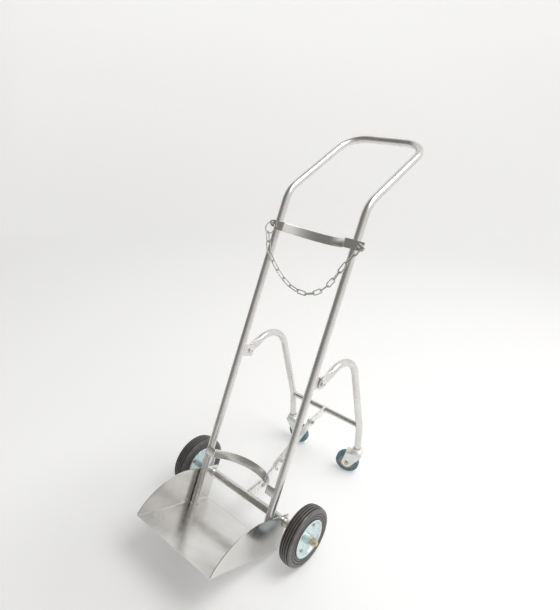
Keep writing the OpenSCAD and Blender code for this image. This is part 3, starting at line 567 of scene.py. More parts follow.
flat = np.array([0, math.cos(BEND), -math.sin(BEND)])
first = np.concatenate([np.tile([1.0, 0, 0], (len(upright), 1)), np.cross(flat, handle_way[1:])])
second = np.concatenate([np.cross(upright_way, [1.0, 0, 0]), np.tile(flat, (len(handle) - 1, 1))])
half_path = np.concatenate([upright, handle[1:]])
half_skin = carried(half_path, first, second, round_section(TUBE_R, 48))
other_skin = half_skin[-2::-1] * [-1, 1, 1]
add_piece("main_tube", "frame", satin_tube,
          [(leaned(np.concatenate([half_skin, other_skin])), "tube")], ["frame_tube"])

# %% [markdown]
# ## Tray
# The tray is one sheet folded up along both sides, with each cheek cut along a large arc that runs
# down to the front lip. A box with a Boolean cut would give the outline, but not the fold. Here the
# sheet is a grid: one way it runs up a cheek, round the fold and over the floor, the other way it
# runs from the back edge to the front lip. Solidify gives the thickness and Bevel breaks the cut
# edges.

# %% Tray
SHEET, CHEEK_X, FOLD = 0.0025, 0.1685, 0.0015
CHEEK_TOP, CHEEK_R, LIP_RISE = FLOOR_Z + 0.126, 0.2, 0.003
TRAY_BACK, TRAY_LIP = 0.0115, -0.305


def tray_sheet():
    """Middle of the sheet. Cheek edge: level, then y = crown - R sin a, z = top - R (1 - cos a) down
    to the lip. Across: cheek line, quarter circle of the fold, floor line, and mirrored."""
    last = math.acos(1 - (CHEEK_TOP - FLOOR_Z - LIP_RISE) / CHEEK_R)
    crown = TRAY_LIP + CHEEK_R * math.sin(last)
    back = np.linspace(TRAY_BACK, crown, 24)
    a = np.linspace(0, last, 48)[1:]
    y = np.concatenate([back, crown - CHEEK_R * np.sin(a)])
    top = np.concatenate([np.full(len(back), CHEEK_TOP), CHEEK_TOP - CHEEK_R * (1 - np.cos(a))])
    floor, wall, r = FLOOR_Z - SHEET / 2, CHEEK_X + SHEET / 2, FOLD + SHEET / 2
    t = np.linspace(1, 0, 20)
    fold = np.linspace(0, math.pi / 2, 7)[1:]
    z = np.concatenate([
        floor + r + t[:, None] * (top - floor - r)[None, :],
        np.repeat((floor + r - r * np.sin(fold))[:, None], len(y), 1)])
    x = np.concatenate([np.full(len(t), -wall), -wall + r - r * np.cos(fold)])[:, None] + 0 * y
    middle = np.linspace(-wall + r, wall - r, 24)[1:-1, None] + 0 * y
    x = np.concatenate([x, middle, -x[::-1]])
    z = np.concatenate([z, np.full_like(middle, floor), z[::-1]])
    return leaned(np.stack([x, np.broadcast_to(y, x.shape), z], -1))


def thicken(piece, thickness, edge_width=0.0005):
    """Half the thickness to each side of the sheet, with its cut edges broken by a small bevel."""
    wall = piece.modifiers.new("sheet_thickness", "SOLIDIFY")
    wall.thickness = thickness
    wall.offset = 0
    edge = piece.modifiers.new("broken_edges", "BEVEL")
    edge.width = edge_width
    edge.segments = 2
    edge.limit_method = "ANGLE"
    edge.angle_limit = math.radians(50)


tray = add_piece("folded_tray", "frame", brushed_sheet,
                 [(tray_sheet(), "sheet")], ["tray"])
thicken(tray, SHEET)

# %% [markdown]
# ## Cylinder bands
# Each band is flat bar: two tabs on the fronts of the uprights, two tight bends, and a long arc of
# the cylinder's radius between them. A curve with a flat bevel would leave sharp edges. The real
# bar's edges are eased, so the section is a rounded rectangle, carried round the plan of the band.

# %% Bands
BAND_R, BAND_T, BAND_H, TIGHT_R, BAND_EASE = 0.132, 0.004, 0.030, 0.006, 0.0012
TAB_N, BAND_N = 0.0855, 0.142449
BAND_LEVELS = {"upper_band": 0.905, "lower_band": 0.105}
tight_x = math.sqrt((BAND_R + BAND_T / 2 + TIGHT_R) ** 2 - (BAND_N - TAB_N + TIGHT_R) ** 2)
tight_turn = math.atan2(tight_x, BAND_N - TAB_N + TIGHT_R)
tab_run = UPRIGHT_X - tight_x


def band_grid(level):
    """Plan of the band in (x, n), n ahead of the axle, with the bar standing square to the frame."""
    plan, way = bent_path((-UPRIGHT_X, TAB_N), 0.0, [
        (tab_run, TIGHT_R, -tight_turn), (0, BAND_R + BAND_T / 2, 2 * tight_turn),
        (0, TIGHT_R, -tight_turn), (tab_run, 0, 0)], spacing=0.003)
    path = np.stack([plan[:, 0], -plan[:, 1], np.full(len(plan), level)], -1)
    out = np.stack([-np.sin(way), -np.cos(way), np.zeros(len(way))], -1)
    up = np.tile([0.0, 0, 1], (len(way), 1))
    return leaned(carried(path, out, up, eased_bar(BAND_T, BAND_H, BAND_EASE)))


for name, level in BAND_LEVELS.items():
    add_piece(name + "_bar", "frame", brushed_sheet,
              [(band_grid(level), "tube")], [name])

# %% [markdown]
# ## Turned pieces
# Tyres, rims, caster wheels and heads are all round, so each is a profile turned about an axis.
# Blender's Screw modifier does the same to a drawn line. Here the profile is computed, so it can
# carry the detail: ribs on the tread, a pressed step in the rim, a groove for the balls.

# %% Turning helper


def turned(profile, centre, axis, turns=96):
    """A profile of (along, radius) pairs turned about an axis:
    point(i, a) = centre + along_i axis + radius_i (cos a u + sin a v)."""
    axis = np.asarray(axis, float) / np.linalg.norm(axis)
    u = np.cross(axis, [0, 0, 1.0] if abs(axis[2]) < 0.9 else [0, 1.0, 0])
    u /= np.linalg.norm(u)
    v = np.cross(axis, u)
    a = np.linspace(0, 2 * math.pi, turns, endpoint=False)[None, :, None]
    along, radius = np.asarray(profile, float).T[:, :, None, None]
    return np.asarray(centre, float) + along * axis + radius * (np.cos(a) * u + np.sin(a) * v)


def softened(points, count, rounds):
    """A line of points, spaced evenly and smoothed: each point moves to a quarter, half, quarter
    mean of its neighbours, for some rounds; the ends stay."""
    points = np.asarray(points, float)
    run = np.concatenate([[0], np.cumsum(np.linalg.norm(np.diff(points, axis=0), axis=1))])
    t = np.linspace(0, run[-1], count)
    line = np.stack([np.interp(t, run, points[:, k]) for k in range(points.shape[1])], -1)
    for _ in range(rounds):
        line[1:-1] = 0.25 * line[:-2] + 0.5 * line[1:-1] + 0.25 * line[2:]
    return line


print("one turned ring:", turned([(0.0, 0.1)], AXLE, (1, 0, 0)).shape[1], "points")

# %% [markdown]
# A tyre is solid rubber with four grooves round its tread and rings on its sides. They could be a
# bump in the material, but then the outline would stay smooth, so they are in the profile. Each
# groove is a bell curve with a flat floor. The faces in the grooves and between the rings get the
# darker rubber, as painted shade.

# %% Tyres
WHEELS = {"left": -0.25, "right": 0.25}
WHEEL_R, CROWN, TREAD_HALF, TYRE_TURNS = 0.1, 0.1, 0.0170, 128
TREAD_GROOVES, GROOVE_DEEP, GROOVE_HALF = [-0.0125, -0.0042, 0.0042, 0.0125], 0.003, 0.0019
SIDE_RINGS, RING_HIGH, RING_HALF = [0.0862, 0.0780, 0.0698], 0.0016, 0.0024
SHOULDER_R, SHOULDER_W = 0.0885, 0.0045
SIDE_X, SIDE_TOP, SIDE_FOOT, SIDE_DISH, SIDE_SPAN = 0.0205, 0.0878, 0.0635, 0.0014, 0.025
HOLLOW, RING_SHADE_R = 0.3, 0.071


def tyre_profile():
    """Loop of (across, radius): a crowned tread, r = R - x^2 / crown, less four grooves of the form
    depth exp(-((x - g) / half)^4), quarter ellipses for shoulders, and dished sides with raised
    rings. The last column is 1 in a groove or between two rings, where painted shade darkens the rubber."""
    x = np.linspace(-TREAD_HALF, TREAD_HALF, 221)
    groove = np.exp(-((x[:, None] - TREAD_GROOVES) / GROOVE_HALF) ** 4).sum(1)
    tread_r = WHEEL_R - x ** 2 / CROWN - GROOVE_DEEP * groove
    tread = np.stack([x, tread_r, groove > HOLLOW], -1)
    a = np.linspace(0, math.pi / 2, 14)[1:]
    drop = tread_r[-1] - SHOULDER_R
    shoulder_x = TREAD_HALF + SHOULDER_W * np.sin(a)
    shoulder = np.stack([shoulder_x, SHOULDER_R + drop * np.cos(a), 0 * a], -1)
    r = np.linspace(SIDE_TOP, SIDE_FOOT, 80)
    ring = np.exp(-((r[:, None] - SIDE_RINGS) / RING_HALF) ** 4).sum(1)
    side_x = SIDE_X - SIDE_DISH * ((SHOULDER_R - r) / SIDE_SPAN) ** 2 + RING_HIGH * ring
    side = np.stack([side_x, r, (ring < HOLLOW) & (r > RING_SHADE_R)], -1)
    under_rim = [[0.0199, 0.0588, 0], [0.0191, 0.0582, 0]]
    flank = np.concatenate([shoulder, side, under_rim])
    return np.concatenate([tread, flank, flank[::-1] * [-1, 1, 1]])


for side, x in WHEELS.items():
    profile = tyre_profile()
    skin = turned(profile[:, :2], AXLE + [x, 0, 0], (1, 0, 0), TYRE_TURNS)
    tyre = add_piece(f"{side}_tread_tyre", f"{side}_wheel", black_rubber,
                     [(skin, "ring")], [f"{side}_tyre"])
    tyre.data.materials.append(groove_shade_rubber)
    # the faces in the grooves and between the rings take the darker rubber as painted shade
    painted_shade_faces = np.repeat(profile[:, 2].astype(np.int32), TYRE_TURNS)
    tyre.data.polygons.foreach_set("material_index", painted_shade_faces)

# %% [markdown]
# A rim is two dishes pressed from plate and bolted back to back. The outer line of a dish runs from
# the hub over a flat web, through a step, along the drum under the tyre, and ends in a rolled lip.
# The inner line is the same line set back by the plate's thickness. Solidify would do that too, but
# a closed loop of both lines needs no modifier.

# %% Rims


def rim_profile(plate=0.002):
    """Loop of (across, radius): the outer line, and the same moved by the plate along its normal."""
    line = softened([
        (0.0130, 0.0172), (0.0130, 0.0290), (0.0142, 0.0310), (0.0142, 0.0500), (0.0165, 0.0545),
        (0.0200, 0.0566), (0.0225, 0.0582), (0.0236, 0.0605), (0.0232, 0.0628), (0.0223, 0.0634)], 90, 4)
    way = np.gradient(line, axis=0)
    way /= np.linalg.norm(way, axis=1, keepdims=True)
    inner = line + plate * np.stack([-way[:, 1], way[:, 0]], -1)
    return np.concatenate([line, inner[::-1]])


for side, x in WHEELS.items():
    for half, face in (("outer", x), ("inner", -x)):
        dish = turned(rim_profile(), AXLE + [x, 0, 0], (face, 0, 0))
        add_piece(f"{side}_{half}_dish", f"{side}_wheel", bright_zinc,
                  [(dish, "ring")], [f"{side}_rim_{half}"])

# %% [markdown]
# ## Nuts and bolts
# A nut's corners are turned off to a cone at both ends, which leaves the curved edges that every
# bolt head shows. A six-sided cylinder lacks them, and cutting them with a Boolean is slow. On a
# grid that cut is easy: the radius is the smaller of the hexagon's and the cone's.

# %% Hexagon helper
HARD = 30


def hex_head(centre, axis, flats, height, turns=96):
    """Hexagon with turned corners: r(a, h) = min(flats / 2 / cos(a mod 60 - 30), cone(h)), where the
    cone starts at 0.97 flats / 2 at each end and widens at 60 degrees."""
    start = 0.485 * flats
    cut = (flats / math.sqrt(3) - start) / math.sqrt(3)
    step = np.linspace(0, cut, 6)
    level = np.concatenate([step, height - step[::-1]])
    cone = start + math.sqrt(3) * np.minimum(level, height - level)
    grid = turned(np.stack([level, np.ones(len(level))], -1), (0, 0, 0), axis, turns)
    unit = np.asarray(axis, float) / np.linalg.norm(axis)
    spoke = grid - level[:, None, None] * unit
    a = np.linspace(0, 2 * math.pi, turns, endpoint=False)
    corner = flats / 2 / np.cos(a % (math.pi / 3) - math.pi / 6)
    radius = np.minimum(corner[None, :], cone[:, None])
    return np.asarray(centre, float) + level[:, None, None] * unit + radius[..., None] * spoke


def pin(start, end, radius, turns=32):
    """A plain round shank from start to end, with its ends chamfered by a tenth of its radius."""
    start, end = np.asarray(start, float), np.asarray(end, float)
    long, c = np.linalg.norm(end - start), 0.1 * radius
    profile = [(0, radius - c), (c, radius), (long - c, radius), (long, radius - c)]
    return turned(profile, start, end - start, turns)


def through_bolt(centre, axis, half, radius, flats, height):
    """A shank through a joint with a hexagon on each end."""
    axis = np.asarray(axis, float)
    shank = [(pin(centre - half * axis, centre + half * axis, radius), "tube")]
    return shank + [
        (hex_head(centre + s * half * axis, s * axis, flats, height, 72), "tube") for s in (-1, 1)]


print("points of a nut:", hex_head((0, 0, 0), (1, 0, 0), 0.024, 0.013).shape[:2])

# %% [markdown]
# Four small bolts hold the two dishes of a rim together, and a large yellow nut closes each end of
# the axle. Each bolt could be a piece of its own, but the bolts of a wheel turn together, so they are
# one piece.

# %% Wheel fasteners
BOLT_CIRCLE, BOLT_HALF, BOLT_R, WEB_FACE = 0.042, 0.016, 0.003, 0.0142
AXLE_NUT_X = 0.2803
spots = np.radians(45 + 90 * np.arange(4))
for side, x in WHEELS.items():
    parts = []
    for a in spots:
        spot = AXLE + [x, BOLT_CIRCLE * math.cos(a), BOLT_CIRCLE * math.sin(a)]
        parts += [(pin(spot - [BOLT_HALF, 0, 0], spot + [BOLT_HALF, 0, 0], BOLT_R), "tube")]
        for s in (-1, 1):
            head = hex_head(spot + [s * WEB_FACE, 0, 0], (s, 0, 0), flats=0.0095, height=0.0035, turns=48)
            parts += [(head, "tube")]
    add_piece(f"{side}_rim_fasteners", f"{side}_wheel", chain_zinc,
              parts, [f"{side}_rim_bolts"], HARD)

nuts = [(hex_head(AXLE + [s * AXLE_NUT_X, 0, 0], (s, 0, 0), flats=0.024, height=0.013), "tube")
        for s in (-1, 1)]
add_piece("axle_end_nuts", "frame", yellow_zinc, nuts, ["axle_nuts"], HARD)

# %% [markdown]
# ## Axle tube and crossbar
# Two plain tubes run across the trolley: one round the axle, one between the legs. A cylinder would
# look solid at its ends, so the profile goes over the outside, round both ends and back through the
# bore. Their lengths and the crossbar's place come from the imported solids.

# %% Axle tube and legs' crossbar
AXLE_TUBE_R, CROSSBAR_R, TUBE_BORE = 0.014, 0.010, 0.0085


def open_tube(low, high, radius, bore, c=0.0006):
    """Loop of (along, radius): the outside, both ends with edges broken by c, and the bore."""
    return [(low, bore + c), (low, radius - c), (low + c, radius), (high - c, radius),
            (high, radius - c), (high, bore + c), (high - c, bore), (low + c, bore)]


crossbar_mid = np.mean(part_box("leg_crossbar"), axis=0) * [0, 1, 1]
for name, node, body, centre, radius in (
        ("axle_sleeve", "axle_tube", "frame", AXLE, AXLE_TUBE_R),
        ("legs_crossbar", "leg_crossbar", "legs", crossbar_mid, CROSSBAR_R)):
    low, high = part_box(node)
    skin = turned(open_tube(low[0], high[0], radius, TUBE_BORE), centre, (1, 0, 0))
    add_piece(name, body, satin_tube, [(skin, "ring")], [node])

# %% [markdown]
# The axle is a plain rod with a thread on each end. Threads are often left to a bump, but here they
# stand out past the nuts and break the outline. So the radius itself goes up and down in a ridge
# that winds round the rod.

# %% Axle with threaded ends


def threaded_axle(radius=0.008, end=0.3013, thread=0.024, pitch=0.002, depth=0.0008, turns=48,
                  run_out=0.001, tip=0.0016, tip_slope=0.8):
    """r(x, a) = radius - depth * ridge(x / pitch + a / 2 pi) near both ends, ridge being a triangle
    wave from 0 to 1, plain between, with the tips chamfered."""
    screw = np.linspace(end - thread, end, 120)
    x = np.concatenate([-screw[::-1], screw])[:, None]
    a = np.linspace(0, 2 * math.pi, turns, endpoint=False)[None, :]
    ridge = 2 * np.abs((x / pitch + a / (2 * math.pi)) % 1 - 0.5)
    fade = np.clip((np.abs(x) - (end - thread)) / run_out, 0, 1)
    r = radius - depth * ridge * fade
    r = np.minimum(r, radius - tip_slope * np.clip(np.abs(x) - (end - tip), 0, None))
    return AXLE + np.stack(np.broadcast_arrays(x, r * np.cos(a), r * np.sin(a)), -1)


add_piece("threaded_axle", "frame", yellow_zinc,
          [(threaded_axle(), "tube")], ["axle_rod"], HARD)

# %% [markdown]
# ## Rear legs
# Each leg is a tube bent into a hook, and its top end is pressed flat to lie against the bracket.
# Two joined shapes would show a seam where the flat meets the tube. The section has to change from
# a flat bar to a circle, and a superellipse does that with one number: its power is high for a box
# with rounded corners and 2 for a circle.

# %% Legs
LEG_X, LEG_FOOT_Z = 0.1593, 0.118
HINGE = np.array([-0.0275779, 0.528965])
KINK = np.array([0.220341, 0.219])
RISE, HOOK_R, HOOK_TURN = math.radians(19), 0.0997512, math.radians(96)
SPLAY, KINK_R = math.radians(13), 0.08
FLAT_HEAD, FLAT_R, FLAT_T, FLAT_RUN, HOOK_RUN = 0.0179, 0.018, 0.0025, 0.028, 0.062
EASE_START, EASE_SPAN, BOX_POWER, ROUND_POWER = 0.026, 0.036, 7, 2
hook_line, _ = bent_path(HINGE, RISE, [(HOOK_RUN, HOOK_R, -HOOK_TURN)])
kink_run = KINK_R * math.tan(SPLAY / 2)
leg_start = HINGE - FLAT_HEAD * np.array([math.cos(RISE), math.sin(RISE)])
leg_line, leg_way = bent_path(leg_start, RISE, [
    (FLAT_HEAD, 0, 0), (FLAT_RUN, 0, 0), (HOOK_RUN - FLAT_RUN, HOOK_R, -HOOK_TURN),
    (np.linalg.norm(KINK - hook_line[-1]) - kink_run, KINK_R, -SPLAY),
    (KINK[1] - kink_run - LEG_FOOT_Z, 0, 0)])


def leg_grid(x, turns=40, gap=0.0005):
    """Superellipse sections along the leg: w |cos|^(2/e), t |sin|^(2/e). Over d, the distance past
    the hinge, w and t go from the flat's to the tube's radius and e from 7 to 2, all by a smooth
    step; before the hinge w follows the round end, w = sqrt(flat radius^2 - d^2)."""
    run = np.concatenate([[0], np.cumsum(np.linalg.norm(np.diff(leg_line, axis=0), axis=1))])
    head = FLAT_HEAD * (1 - np.cos(np.linspace(0, math.pi / 2, 14)))
    neck = np.linspace(FLAT_HEAD, FLAT_HEAD + HOOK_RUN, 26)[1:]
    d = np.concatenate([head, neck, run[run > FLAT_HEAD + HOOK_RUN + gap]])
    y, z, h = (np.interp(d, run, v)[:, None] for v in (leg_line[:, 0], leg_line[:, 1], leg_way))
    d = d - FLAT_HEAD
    m = np.clip((d - EASE_START) / EASE_SPAN, 0, 1)
    m = m * m * (3 - 2 * m)
    round_end = np.sqrt(np.clip(FLAT_R ** 2 - d ** 2, 0, None))
    wide = np.where(d < 0, round_end, FLAT_R + m * (TUBE_R - FLAT_R))[:, None]
    thick = (FLAT_T + m * (TUBE_R - FLAT_T))[:, None]
    power = (2 / (BOX_POWER + m * (ROUND_POWER - BOX_POWER)))[:, None]
    a = np.linspace(0, 2 * math.pi, turns, endpoint=False)[None, :]
    u = wide * np.sign(np.cos(a)) * np.abs(np.cos(a)) ** power
    v = thick * np.sign(np.sin(a)) * np.abs(np.sin(a)) ** power
    return np.stack([x + v, y - np.sin(h) * u, z + np.cos(h) * u], -1)


for side, x in (("left", -LEG_X), ("right", LEG_X)):
    add_piece(f"{side}_hooked_leg", "legs", satin_tube,
              [(leg_grid(x), "tube")], [f"{side}_leg"])

# %% [markdown]
# The legs turn on a bolt through each bracket, with a hexagon on either side. The hexagons are pale
# and the shanks are darker, so they are two pieces. Two more bolts hold the ends of the folding stay,
# one on the axle tube's lug and one on the crossbar's.

# %% Hinge and stay bolts
HINGE_SHANK, HINGE_SHANK_R = (0.1448, 0.1692), 0.005
HINGE_HEADS = ((0.1621, 1), (0.1515, -1))
STAY_LOW = np.array([0, -0.142659, 0.1])
STAY_HIGH = np.array([0, 0.132997, 0.208275])
STAY_LOW_HALF, STAY_HIGH_HALF = 0.0083, 0.0076
SMALL_BOLT = {"radius": 0.004, "flats": 0.013, "height": 0.005}
hinge_heads, hinge_shanks = [], []
for s in (-1, 1):
    at = np.array([0.0, *HINGE])
    near_end, far_end = (at + [s * x, 0, 0] for x in HINGE_SHANK)
    hinge_shanks += [(pin(near_end, far_end, HINGE_SHANK_R), "tube")]
    for x, face in HINGE_HEADS:
        head = hex_head(at + [s * x, 0, 0], (s * face, 0, 0), flats=0.017, height=0.006)
        hinge_heads += [(head, "tube")]
add_piece("hinge_fasteners", "frame", white_zinc,
          hinge_heads, ["leg_hinge_bolts"], HARD)
add_piece("hinge_shanks", "frame", chain_zinc, hinge_shanks, (), HARD)
add_piece("axle_lug_fastener", "frame", chain_zinc,
          through_bolt(STAY_LOW, (1, 0, 0), STAY_LOW_HALF, **SMALL_BOLT), ["axle_lug_bolt"], HARD)
add_piece("crossbar_lug_fastener", "legs", chain_zinc,
          through_bolt(STAY_HIGH, (1, 0, 0), STAY_HIGH_HALF, **SMALL_BOLT),
          ["crossbar_lug_bolt"], HARD)

# %% [markdown]
# ## Casters
# A caster has a head with a ball race, welded under the leg, a fork that swivels on it, and a wheel
# of plastic with a rubber tread. Head, core and tread are turned profiles. Cylinders stacked on each
# other would have the same size, but not the groove between the race's two plates.

# %% Caster heads and wheels
CASTERS = {"left": (-LEG_X, math.radians(-2)), "right": (LEG_X, math.radians(198))}
FOOT_Y, TRAIL, CASTER_Z = 0.220341, 0.035, 0.045
CASTER_BOLT_HALF, TREAD_EASE = 0.017, 0.0055


def caster_axes(side):
    """Swivel foot point, trail direction and wheel axle direction of a caster at rest."""
    x, yaw = CASTERS[side]
    trail = np.array([math.cos(yaw), math.sin(yaw), 0])
    across = np.array([-math.sin(yaw), math.cos(yaw), 0])
    return np.array([x, FOOT_Y, 0]), trail, across


head_line = softened([
    (0.0912, 0.0060), (0.0912, 0.0085), (0.0940, 0.0085), (0.0942, 0.0050), (0.0972, 0.0050),
    (0.0973, 0.0205), (0.0980, 0.0219), (0.1010, 0.0220), (0.1018, 0.0212), (0.1023, 0.0204),
    (0.1028, 0.0212), (0.1036, 0.0220), (0.1062, 0.0216), (0.1085, 0.0190), (0.1100, 0.0160),
    (0.1120, 0.0155), (0.1175, 0.0152), (0.1180, 0.0140)], 260, 3)
quarter = np.linspace(0, math.pi / 2, 9)
tread_corner = [0.0070, 0.0393] + TREAD_EASE * np.stack([np.sin(quarter), np.cos(quarter)], -1)
tread_half = np.concatenate([[[0.004, 0.04495]], tread_corner, [[0.0124, 0.0345], [0.0118, 0.0301]]])
tread_loop = np.concatenate([tread_half, tread_half[::-1] * [-1, 1]])
core_half = softened([
    (0.0112, 0.0300), (0.0116, 0.0293), (0.0114, 0.0268), (0.0085, 0.0254), (0.0082, 0.0130),
    (0.0092, 0.0100), (0.0136, 0.0092), (0.0141, 0.0086), (0.0141, 0.00405)], 70, 2)
core_loop = np.concatenate([core_half, core_half[::-1] * [-1, 1]])

for side in CASTERS:
    foot, trail, across = caster_axes(side)
    hub = foot + TRAIL * trail + [0, 0, CASTER_Z]
    add_piece(f"{side}_race_head", "legs", white_zinc,
              [(turned(head_line, foot, (0, 0, 1), 72), "tube")], [f"{side}_caster_head"])
    add_piece(f"{side}_caster_tread", f"{side}_caster_wheel", blue_rubber,
              [(turned(tread_loop, hub, across), "ring")], [f"{side}_caster_tyre"])
    add_piece(f"{side}_caster_centre", f"{side}_caster_wheel", tan_plastic,
              [(turned(core_loop, hub, across), "ring")], [f"{side}_caster_core"])
    add_piece(f"{side}_caster_fastener", f"{side}_caster", chain_zinc,
              through_bolt(hub, across, CASTER_BOLT_HALF, **SMALL_BOLT),
              [f"{side}_caster_axle"], HARD)

# %% [markdown]
# The fork is one blank folded into a U: a strip that runs up one cheek, over the top and down the
# other, while its two edges follow the cheek's outline. It could be three plates, but then the folds
# would be sharp corners. One grid bends round them, and Solidify gives the plate its thickness.

# %% Caster forks
FORK_END, FORK_TIP, FORK_PLATE = 0.0195, math.radians(20), 0.0025
FORK_WALL, FORK_TOP, FORK_FOLD = 0.01575, 0.05075, 0.004
FORK_HEIGHTS = [0.040, 0.052]
FORK_REAR, FORK_FORE = [-0.020, -0.020], [0.043, 0.041]


def softened_edge(edge, above=14, rounds=6):
    """An edge line smoothed a little over its height, as a pressing's corners are: for some rounds,
    the points after the first few (above) move to a quarter, half, quarter mean of their neighbours."""
    soft = edge.copy()
    for _ in range(rounds):
        soft[above:-1] = 0.25 * soft[above - 1:-2] + 0.5 * soft[above:-1] + 0.25 * soft[above + 1:]
    return soft


def fork_sheet():
    """Strip of the fork in caster axes (trail, across, up from the floor). Along the strip: up one
    cheek, round a fold, over the top, and mirrored. Edges over height h from the axle: a circle of
    the end's radius about the axle below, straight lines from its sides to the top plate above."""
    below = -FORK_END * np.cos(np.linspace(0.12, math.pi / 2, 18))
    h = np.concatenate([below, np.linspace(0, FORK_HEIGHTS[-1], 28)[1:]])
    ring = np.sqrt(np.clip(FORK_END ** 2 - h ** 2, 0, None))
    tip_h, tip_x = FORK_END * math.sin(FORK_TIP), FORK_END * math.cos(FORK_TIP)
    rear_line = np.interp(h, [-tip_h, *FORK_HEIGHTS], [TRAIL - tip_x, *FORK_REAR])
    fore_line = np.interp(h, [tip_h, *FORK_HEIGHTS], [TRAIL + tip_x, *FORK_FORE])
    rear = softened_edge(np.where(h < -tip_h, TRAIL - ring, rear_line))
    fore = softened_edge(np.where(h < tip_h, TRAIL + ring, fore_line))
    rise = h[h < FORK_TOP - FORK_FOLD]
    a = np.linspace(0, math.pi / 2, 8)
    folded = -FORK_WALL + FORK_FOLD - FORK_FOLD * np.cos(a)
    across = np.concatenate([np.full(len(rise), -FORK_WALL), folded])
    up = np.concatenate([rise, FORK_TOP - FORK_FOLD + FORK_FOLD * np.sin(a)])
    across = np.concatenate([across, -across[::-1]])[:, None]
    up = np.concatenate([up, up[::-1]])
    near, far = np.interp(up, h, rear)[:, None], np.interp(up, h, fore)[:, None]
    along = near + (far - near) * np.linspace(0, 1, 16)[None, :]
    return np.broadcast_arrays(along, across, up[:, None] + CASTER_Z)


for side in CASTERS:
    foot, trail, across = caster_axes(side)
    u, v, w = (measure[..., None] for measure in fork_sheet())
    fork = add_piece(f"{side}_pressed_fork", f"{side}_caster", white_zinc,
                     [(foot + u * trail + v * across + w * UP, "sheet")], [f"{side}_caster_fork"])
    thicken(fork, FORK_PLATE)

# %% [markdown]
# ## Weld beads
# The trolley is welded together, and the beads are part of its look: small rippled rolls in every
# inner corner. A smooth fillet would look cast. A bead is a thin round section carried along the
# joint, whose radius swells and shrinks with each drop of the weld.

# %% Weld helper
RIPPLE, STEEP, SOFT = 0.14, 0.85, 60


def bead(path, radius, closed=False, drop=0.0032, turns=10, taper=1.2, thinnest=0.25):
    """Section carried along a joint, with radius(s) = radius (1 + ripple sin(2 pi s / drop)), thinner
    at open ends; its two directions are square to the path, the first one as near to z as can be."""
    path = np.asarray(path, float)
    step = np.linalg.norm(np.diff(path, axis=0, append=path[:1] if closed else path[-1:]), axis=1)
    run = np.concatenate([[0], np.cumsum(step)[:-1]])
    total = run[-1] + (step[-1] if closed else 0)
    waves = max(1, round(total / drop))
    swell = radius * (1 + RIPPLE * np.sin(2 * math.pi * waves * run / total))
    if not closed:
        swell = swell * np.clip(np.minimum(run, total - run) / (taper * radius), thinnest, 1)
    way = np.roll(path, -1, 0) - np.roll(path, 1, 0) if closed else np.gradient(path, axis=0)
    way /= np.linalg.norm(way, axis=1, keepdims=True)
    hint = np.where(np.abs(way[:, 2:]) > STEEP, [[0.8, 0.6, 0.0]], [[0.0, 0.0, 1.0]])
    second = np.cross(way, hint)
    second /= np.linalg.norm(second, axis=1, keepdims=True)
    first = np.cross(second, way)
    u, v = np.moveaxis(round_section(1.0, turns)[None, :, :, None] * swell[:, None, None, None], 2, 0)
    grid = path[:, None, :] + u * first[:, None, :] + v * second[:, None, :]
    return grid, "ring" if closed else "tube"


def ring_path(centre, axis, radius, count=140):
    """Circle about an axis."""
    return turned([(0.0, radius)], centre, axis, count)[0]


def line_path(start, end, spacing=0.0008):
    """Straight run of points, close enough to show the ripples."""
    start, end = np.asarray(start, float), np.asarray(end, float)
    t = np.linspace(0, 1, max(4, int(np.linalg.norm(end - start) / spacing)))
    return start + t[:, None] * (end - start)


def saddle_path(x, y, z, radius, angles):
    """Arc round a tube that lies across: (x, y + radius cos a, z + radius sin a)."""
    return np.stack(np.broadcast_arrays(x, y + radius * np.cos(angles), z + radius * np.sin(angles)), -1)


print("points of a 30 mm bead:", bead(line_path([0, 0, 0], [0.03, 0, 0]), 0.0015)[0].shape[:2])

# %% [markdown]
# On the frame there are beads round the feet of the uprights, round the axle tube at both faces of
# each cheek, along the edges of the bands' tabs, down the leg brackets, and at the stay's lower lug.
# They never move against each other, so they are one piece.

# %% Frame welds
FOOT_BEAD, CHEEK_BEAD, TAB_BEAD, LUG_BEAD = 0.0016, 0.0017, 0.0016, 0.0015
PROUD, CHEEK_PROUD, AXLE_RING = 0.0006, 0.0004, 0.0143
TAB_INNER, TAB_OUTER = (0.1465, -0.0842), (0.1535, -0.0837)
BRACKET_HALF, BRACKET_LOW, BRACKET_HIGH = 0.0027, 0.451, 0.485
BRACKET_Y, LOWER_LUG_HALF = UPRIGHT_Y + 0.0124, 0.0085
lug_arc = np.radians(np.linspace(-38, 38, 40))
beads = []
up_way = leaned([0, 0, 1]) - leaned([0, 0, 0])
for s in (-1, 1):
    foot = leaned([s * UPRIGHT_X, UPRIGHT_Y, FLOOR_Z + PROUD])
    beads.append(bead(ring_path(foot, up_way, TUBE_R + PROUD), FOOT_BEAD, True))
    for wall in (CHEEK_X - CHEEK_PROUD, CHEEK_X + SHEET + CHEEK_PROUD):
        beads.append(bead(ring_path(AXLE + [s * wall, 0, 0], (1, 0, 0), AXLE_RING), CHEEK_BEAD, True))
    for level in BAND_LEVELS.values():
        for z in (level - 0.5 * BAND_H, level + 0.5 * BAND_H):
            tab_edge = line_path(*([s * x, y, z] for x, y in (TAB_INNER, TAB_OUTER)))
            beads.append(bead(leaned(tab_edge), TAB_BEAD))
    for face in (-1, 1):
        x = s * UPRIGHT_X + face * BRACKET_HALF
        bracket_edge = line_path(*([x, BRACKET_Y, z] for z in (BRACKET_LOW, BRACKET_HIGH)))
        beads.append(bead(leaned(bracket_edge), LUG_BEAD))
for s in (-1, 1):
    beads.append(bead(saddle_path(s * LOWER_LUG_HALF, *AXLE[1:], AXLE_RING, lug_arc), LUG_BEAD))
add_piece("frame_welds", "frame", weld_steel, beads, (), SOFT)

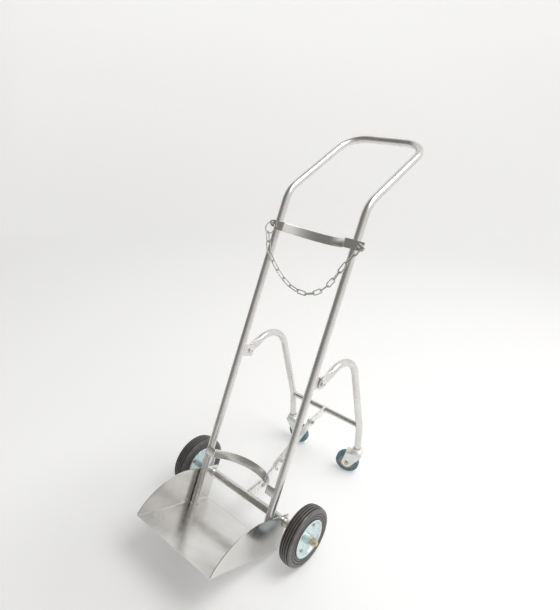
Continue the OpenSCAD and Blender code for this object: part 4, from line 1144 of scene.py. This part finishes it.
# %% [markdown]
# On the legs there are beads where the crossbar meets each leg, on top of the caster heads, and at
# the stay's upper lug. Where two tubes meet, the joint is a saddle: the crossbar's circle, pushed in
# as far as the leg's round face is there.

# %% Leg welds
SADDLE_R, SADDLE_DEEP, SADDLE_PROUD = 0.0102, 0.0098, 0.0002
HEAD_TOP, UPPER_LUG_HALF, UPPER_LUG_BEAD = 0.1184, 0.0042, 0.0014
full_turn = np.linspace(0, 2 * math.pi, 120, endpoint=False)
upper_arc = np.radians(np.linspace(145, 225, 40))
beads = []
for s in (-1, 1):
    depth = np.sqrt(TUBE_R ** 2 - (SADDLE_DEEP * np.cos(full_turn)) ** 2)
    saddle_x = s * (LEG_X - depth - SADDLE_PROUD)
    joint = saddle_path(saddle_x, KINK[0] + SADDLE_PROUD, KINK[1], SADDLE_R, full_turn)
    beads.append(bead(joint, LUG_BEAD, True))
    head_ring = ring_path([s * LEG_X, FOOT_Y, HEAD_TOP], (0, 0, 1), TUBE_R + PROUD)
    beads.append(bead(head_ring, FOOT_BEAD, True))
    beads.append(bead(saddle_path(s * UPPER_LUG_HALF, *KINK, SADDLE_R, upper_arc), UPPER_LUG_BEAD))
add_piece("leg_welds", "legs", weld_steel, beads, (), SOFT)

# %% [markdown]
# ## Finishes for the solids that stay
# Plates, lugs, strips, washers and the chain are simple enough to keep as they were packed. They
# could be modelled again, but they would come out nearly the same, so each only gets its finish.

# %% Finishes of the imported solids
kept_finish = {
    brushed_sheet: ["left_chain_lug", "right_chain_lug"],
    satin_tube: ["left_leg_bracket", "right_leg_bracket"],
    pale_strip: ["crossbar_lug", "axle_lug", "stay_bar", "stay_strips"],
    bright_zinc: ["axle_washers", "left_hub", "right_hub"],
    chain_zinc: ["chain_ring", "chain_left_end", "chain_loop", "chain_right_end", "shackle_bow",
                 "shackle_pin", "leg_stop_pins", "knee_rivets", "knee_stop_pin"],
    tan_plastic: ["left_hub_bush", "right_hub_bush"],
}
for material, names in kept_finish.items():
    for name in names:
        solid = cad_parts[name]
        if not solid.material_slots:
            solid.data.materials.append(material)
        for slot in solid.material_slots:
            slot.material = material
print("solids kept:", sum(len(names) for names in kept_finish.values()))

# %% [markdown]
# ## View transform
# The render uses Blender's Standard view transform.

# %% View transform
bpy.context.scene.view_settings.view_transform = "Standard"
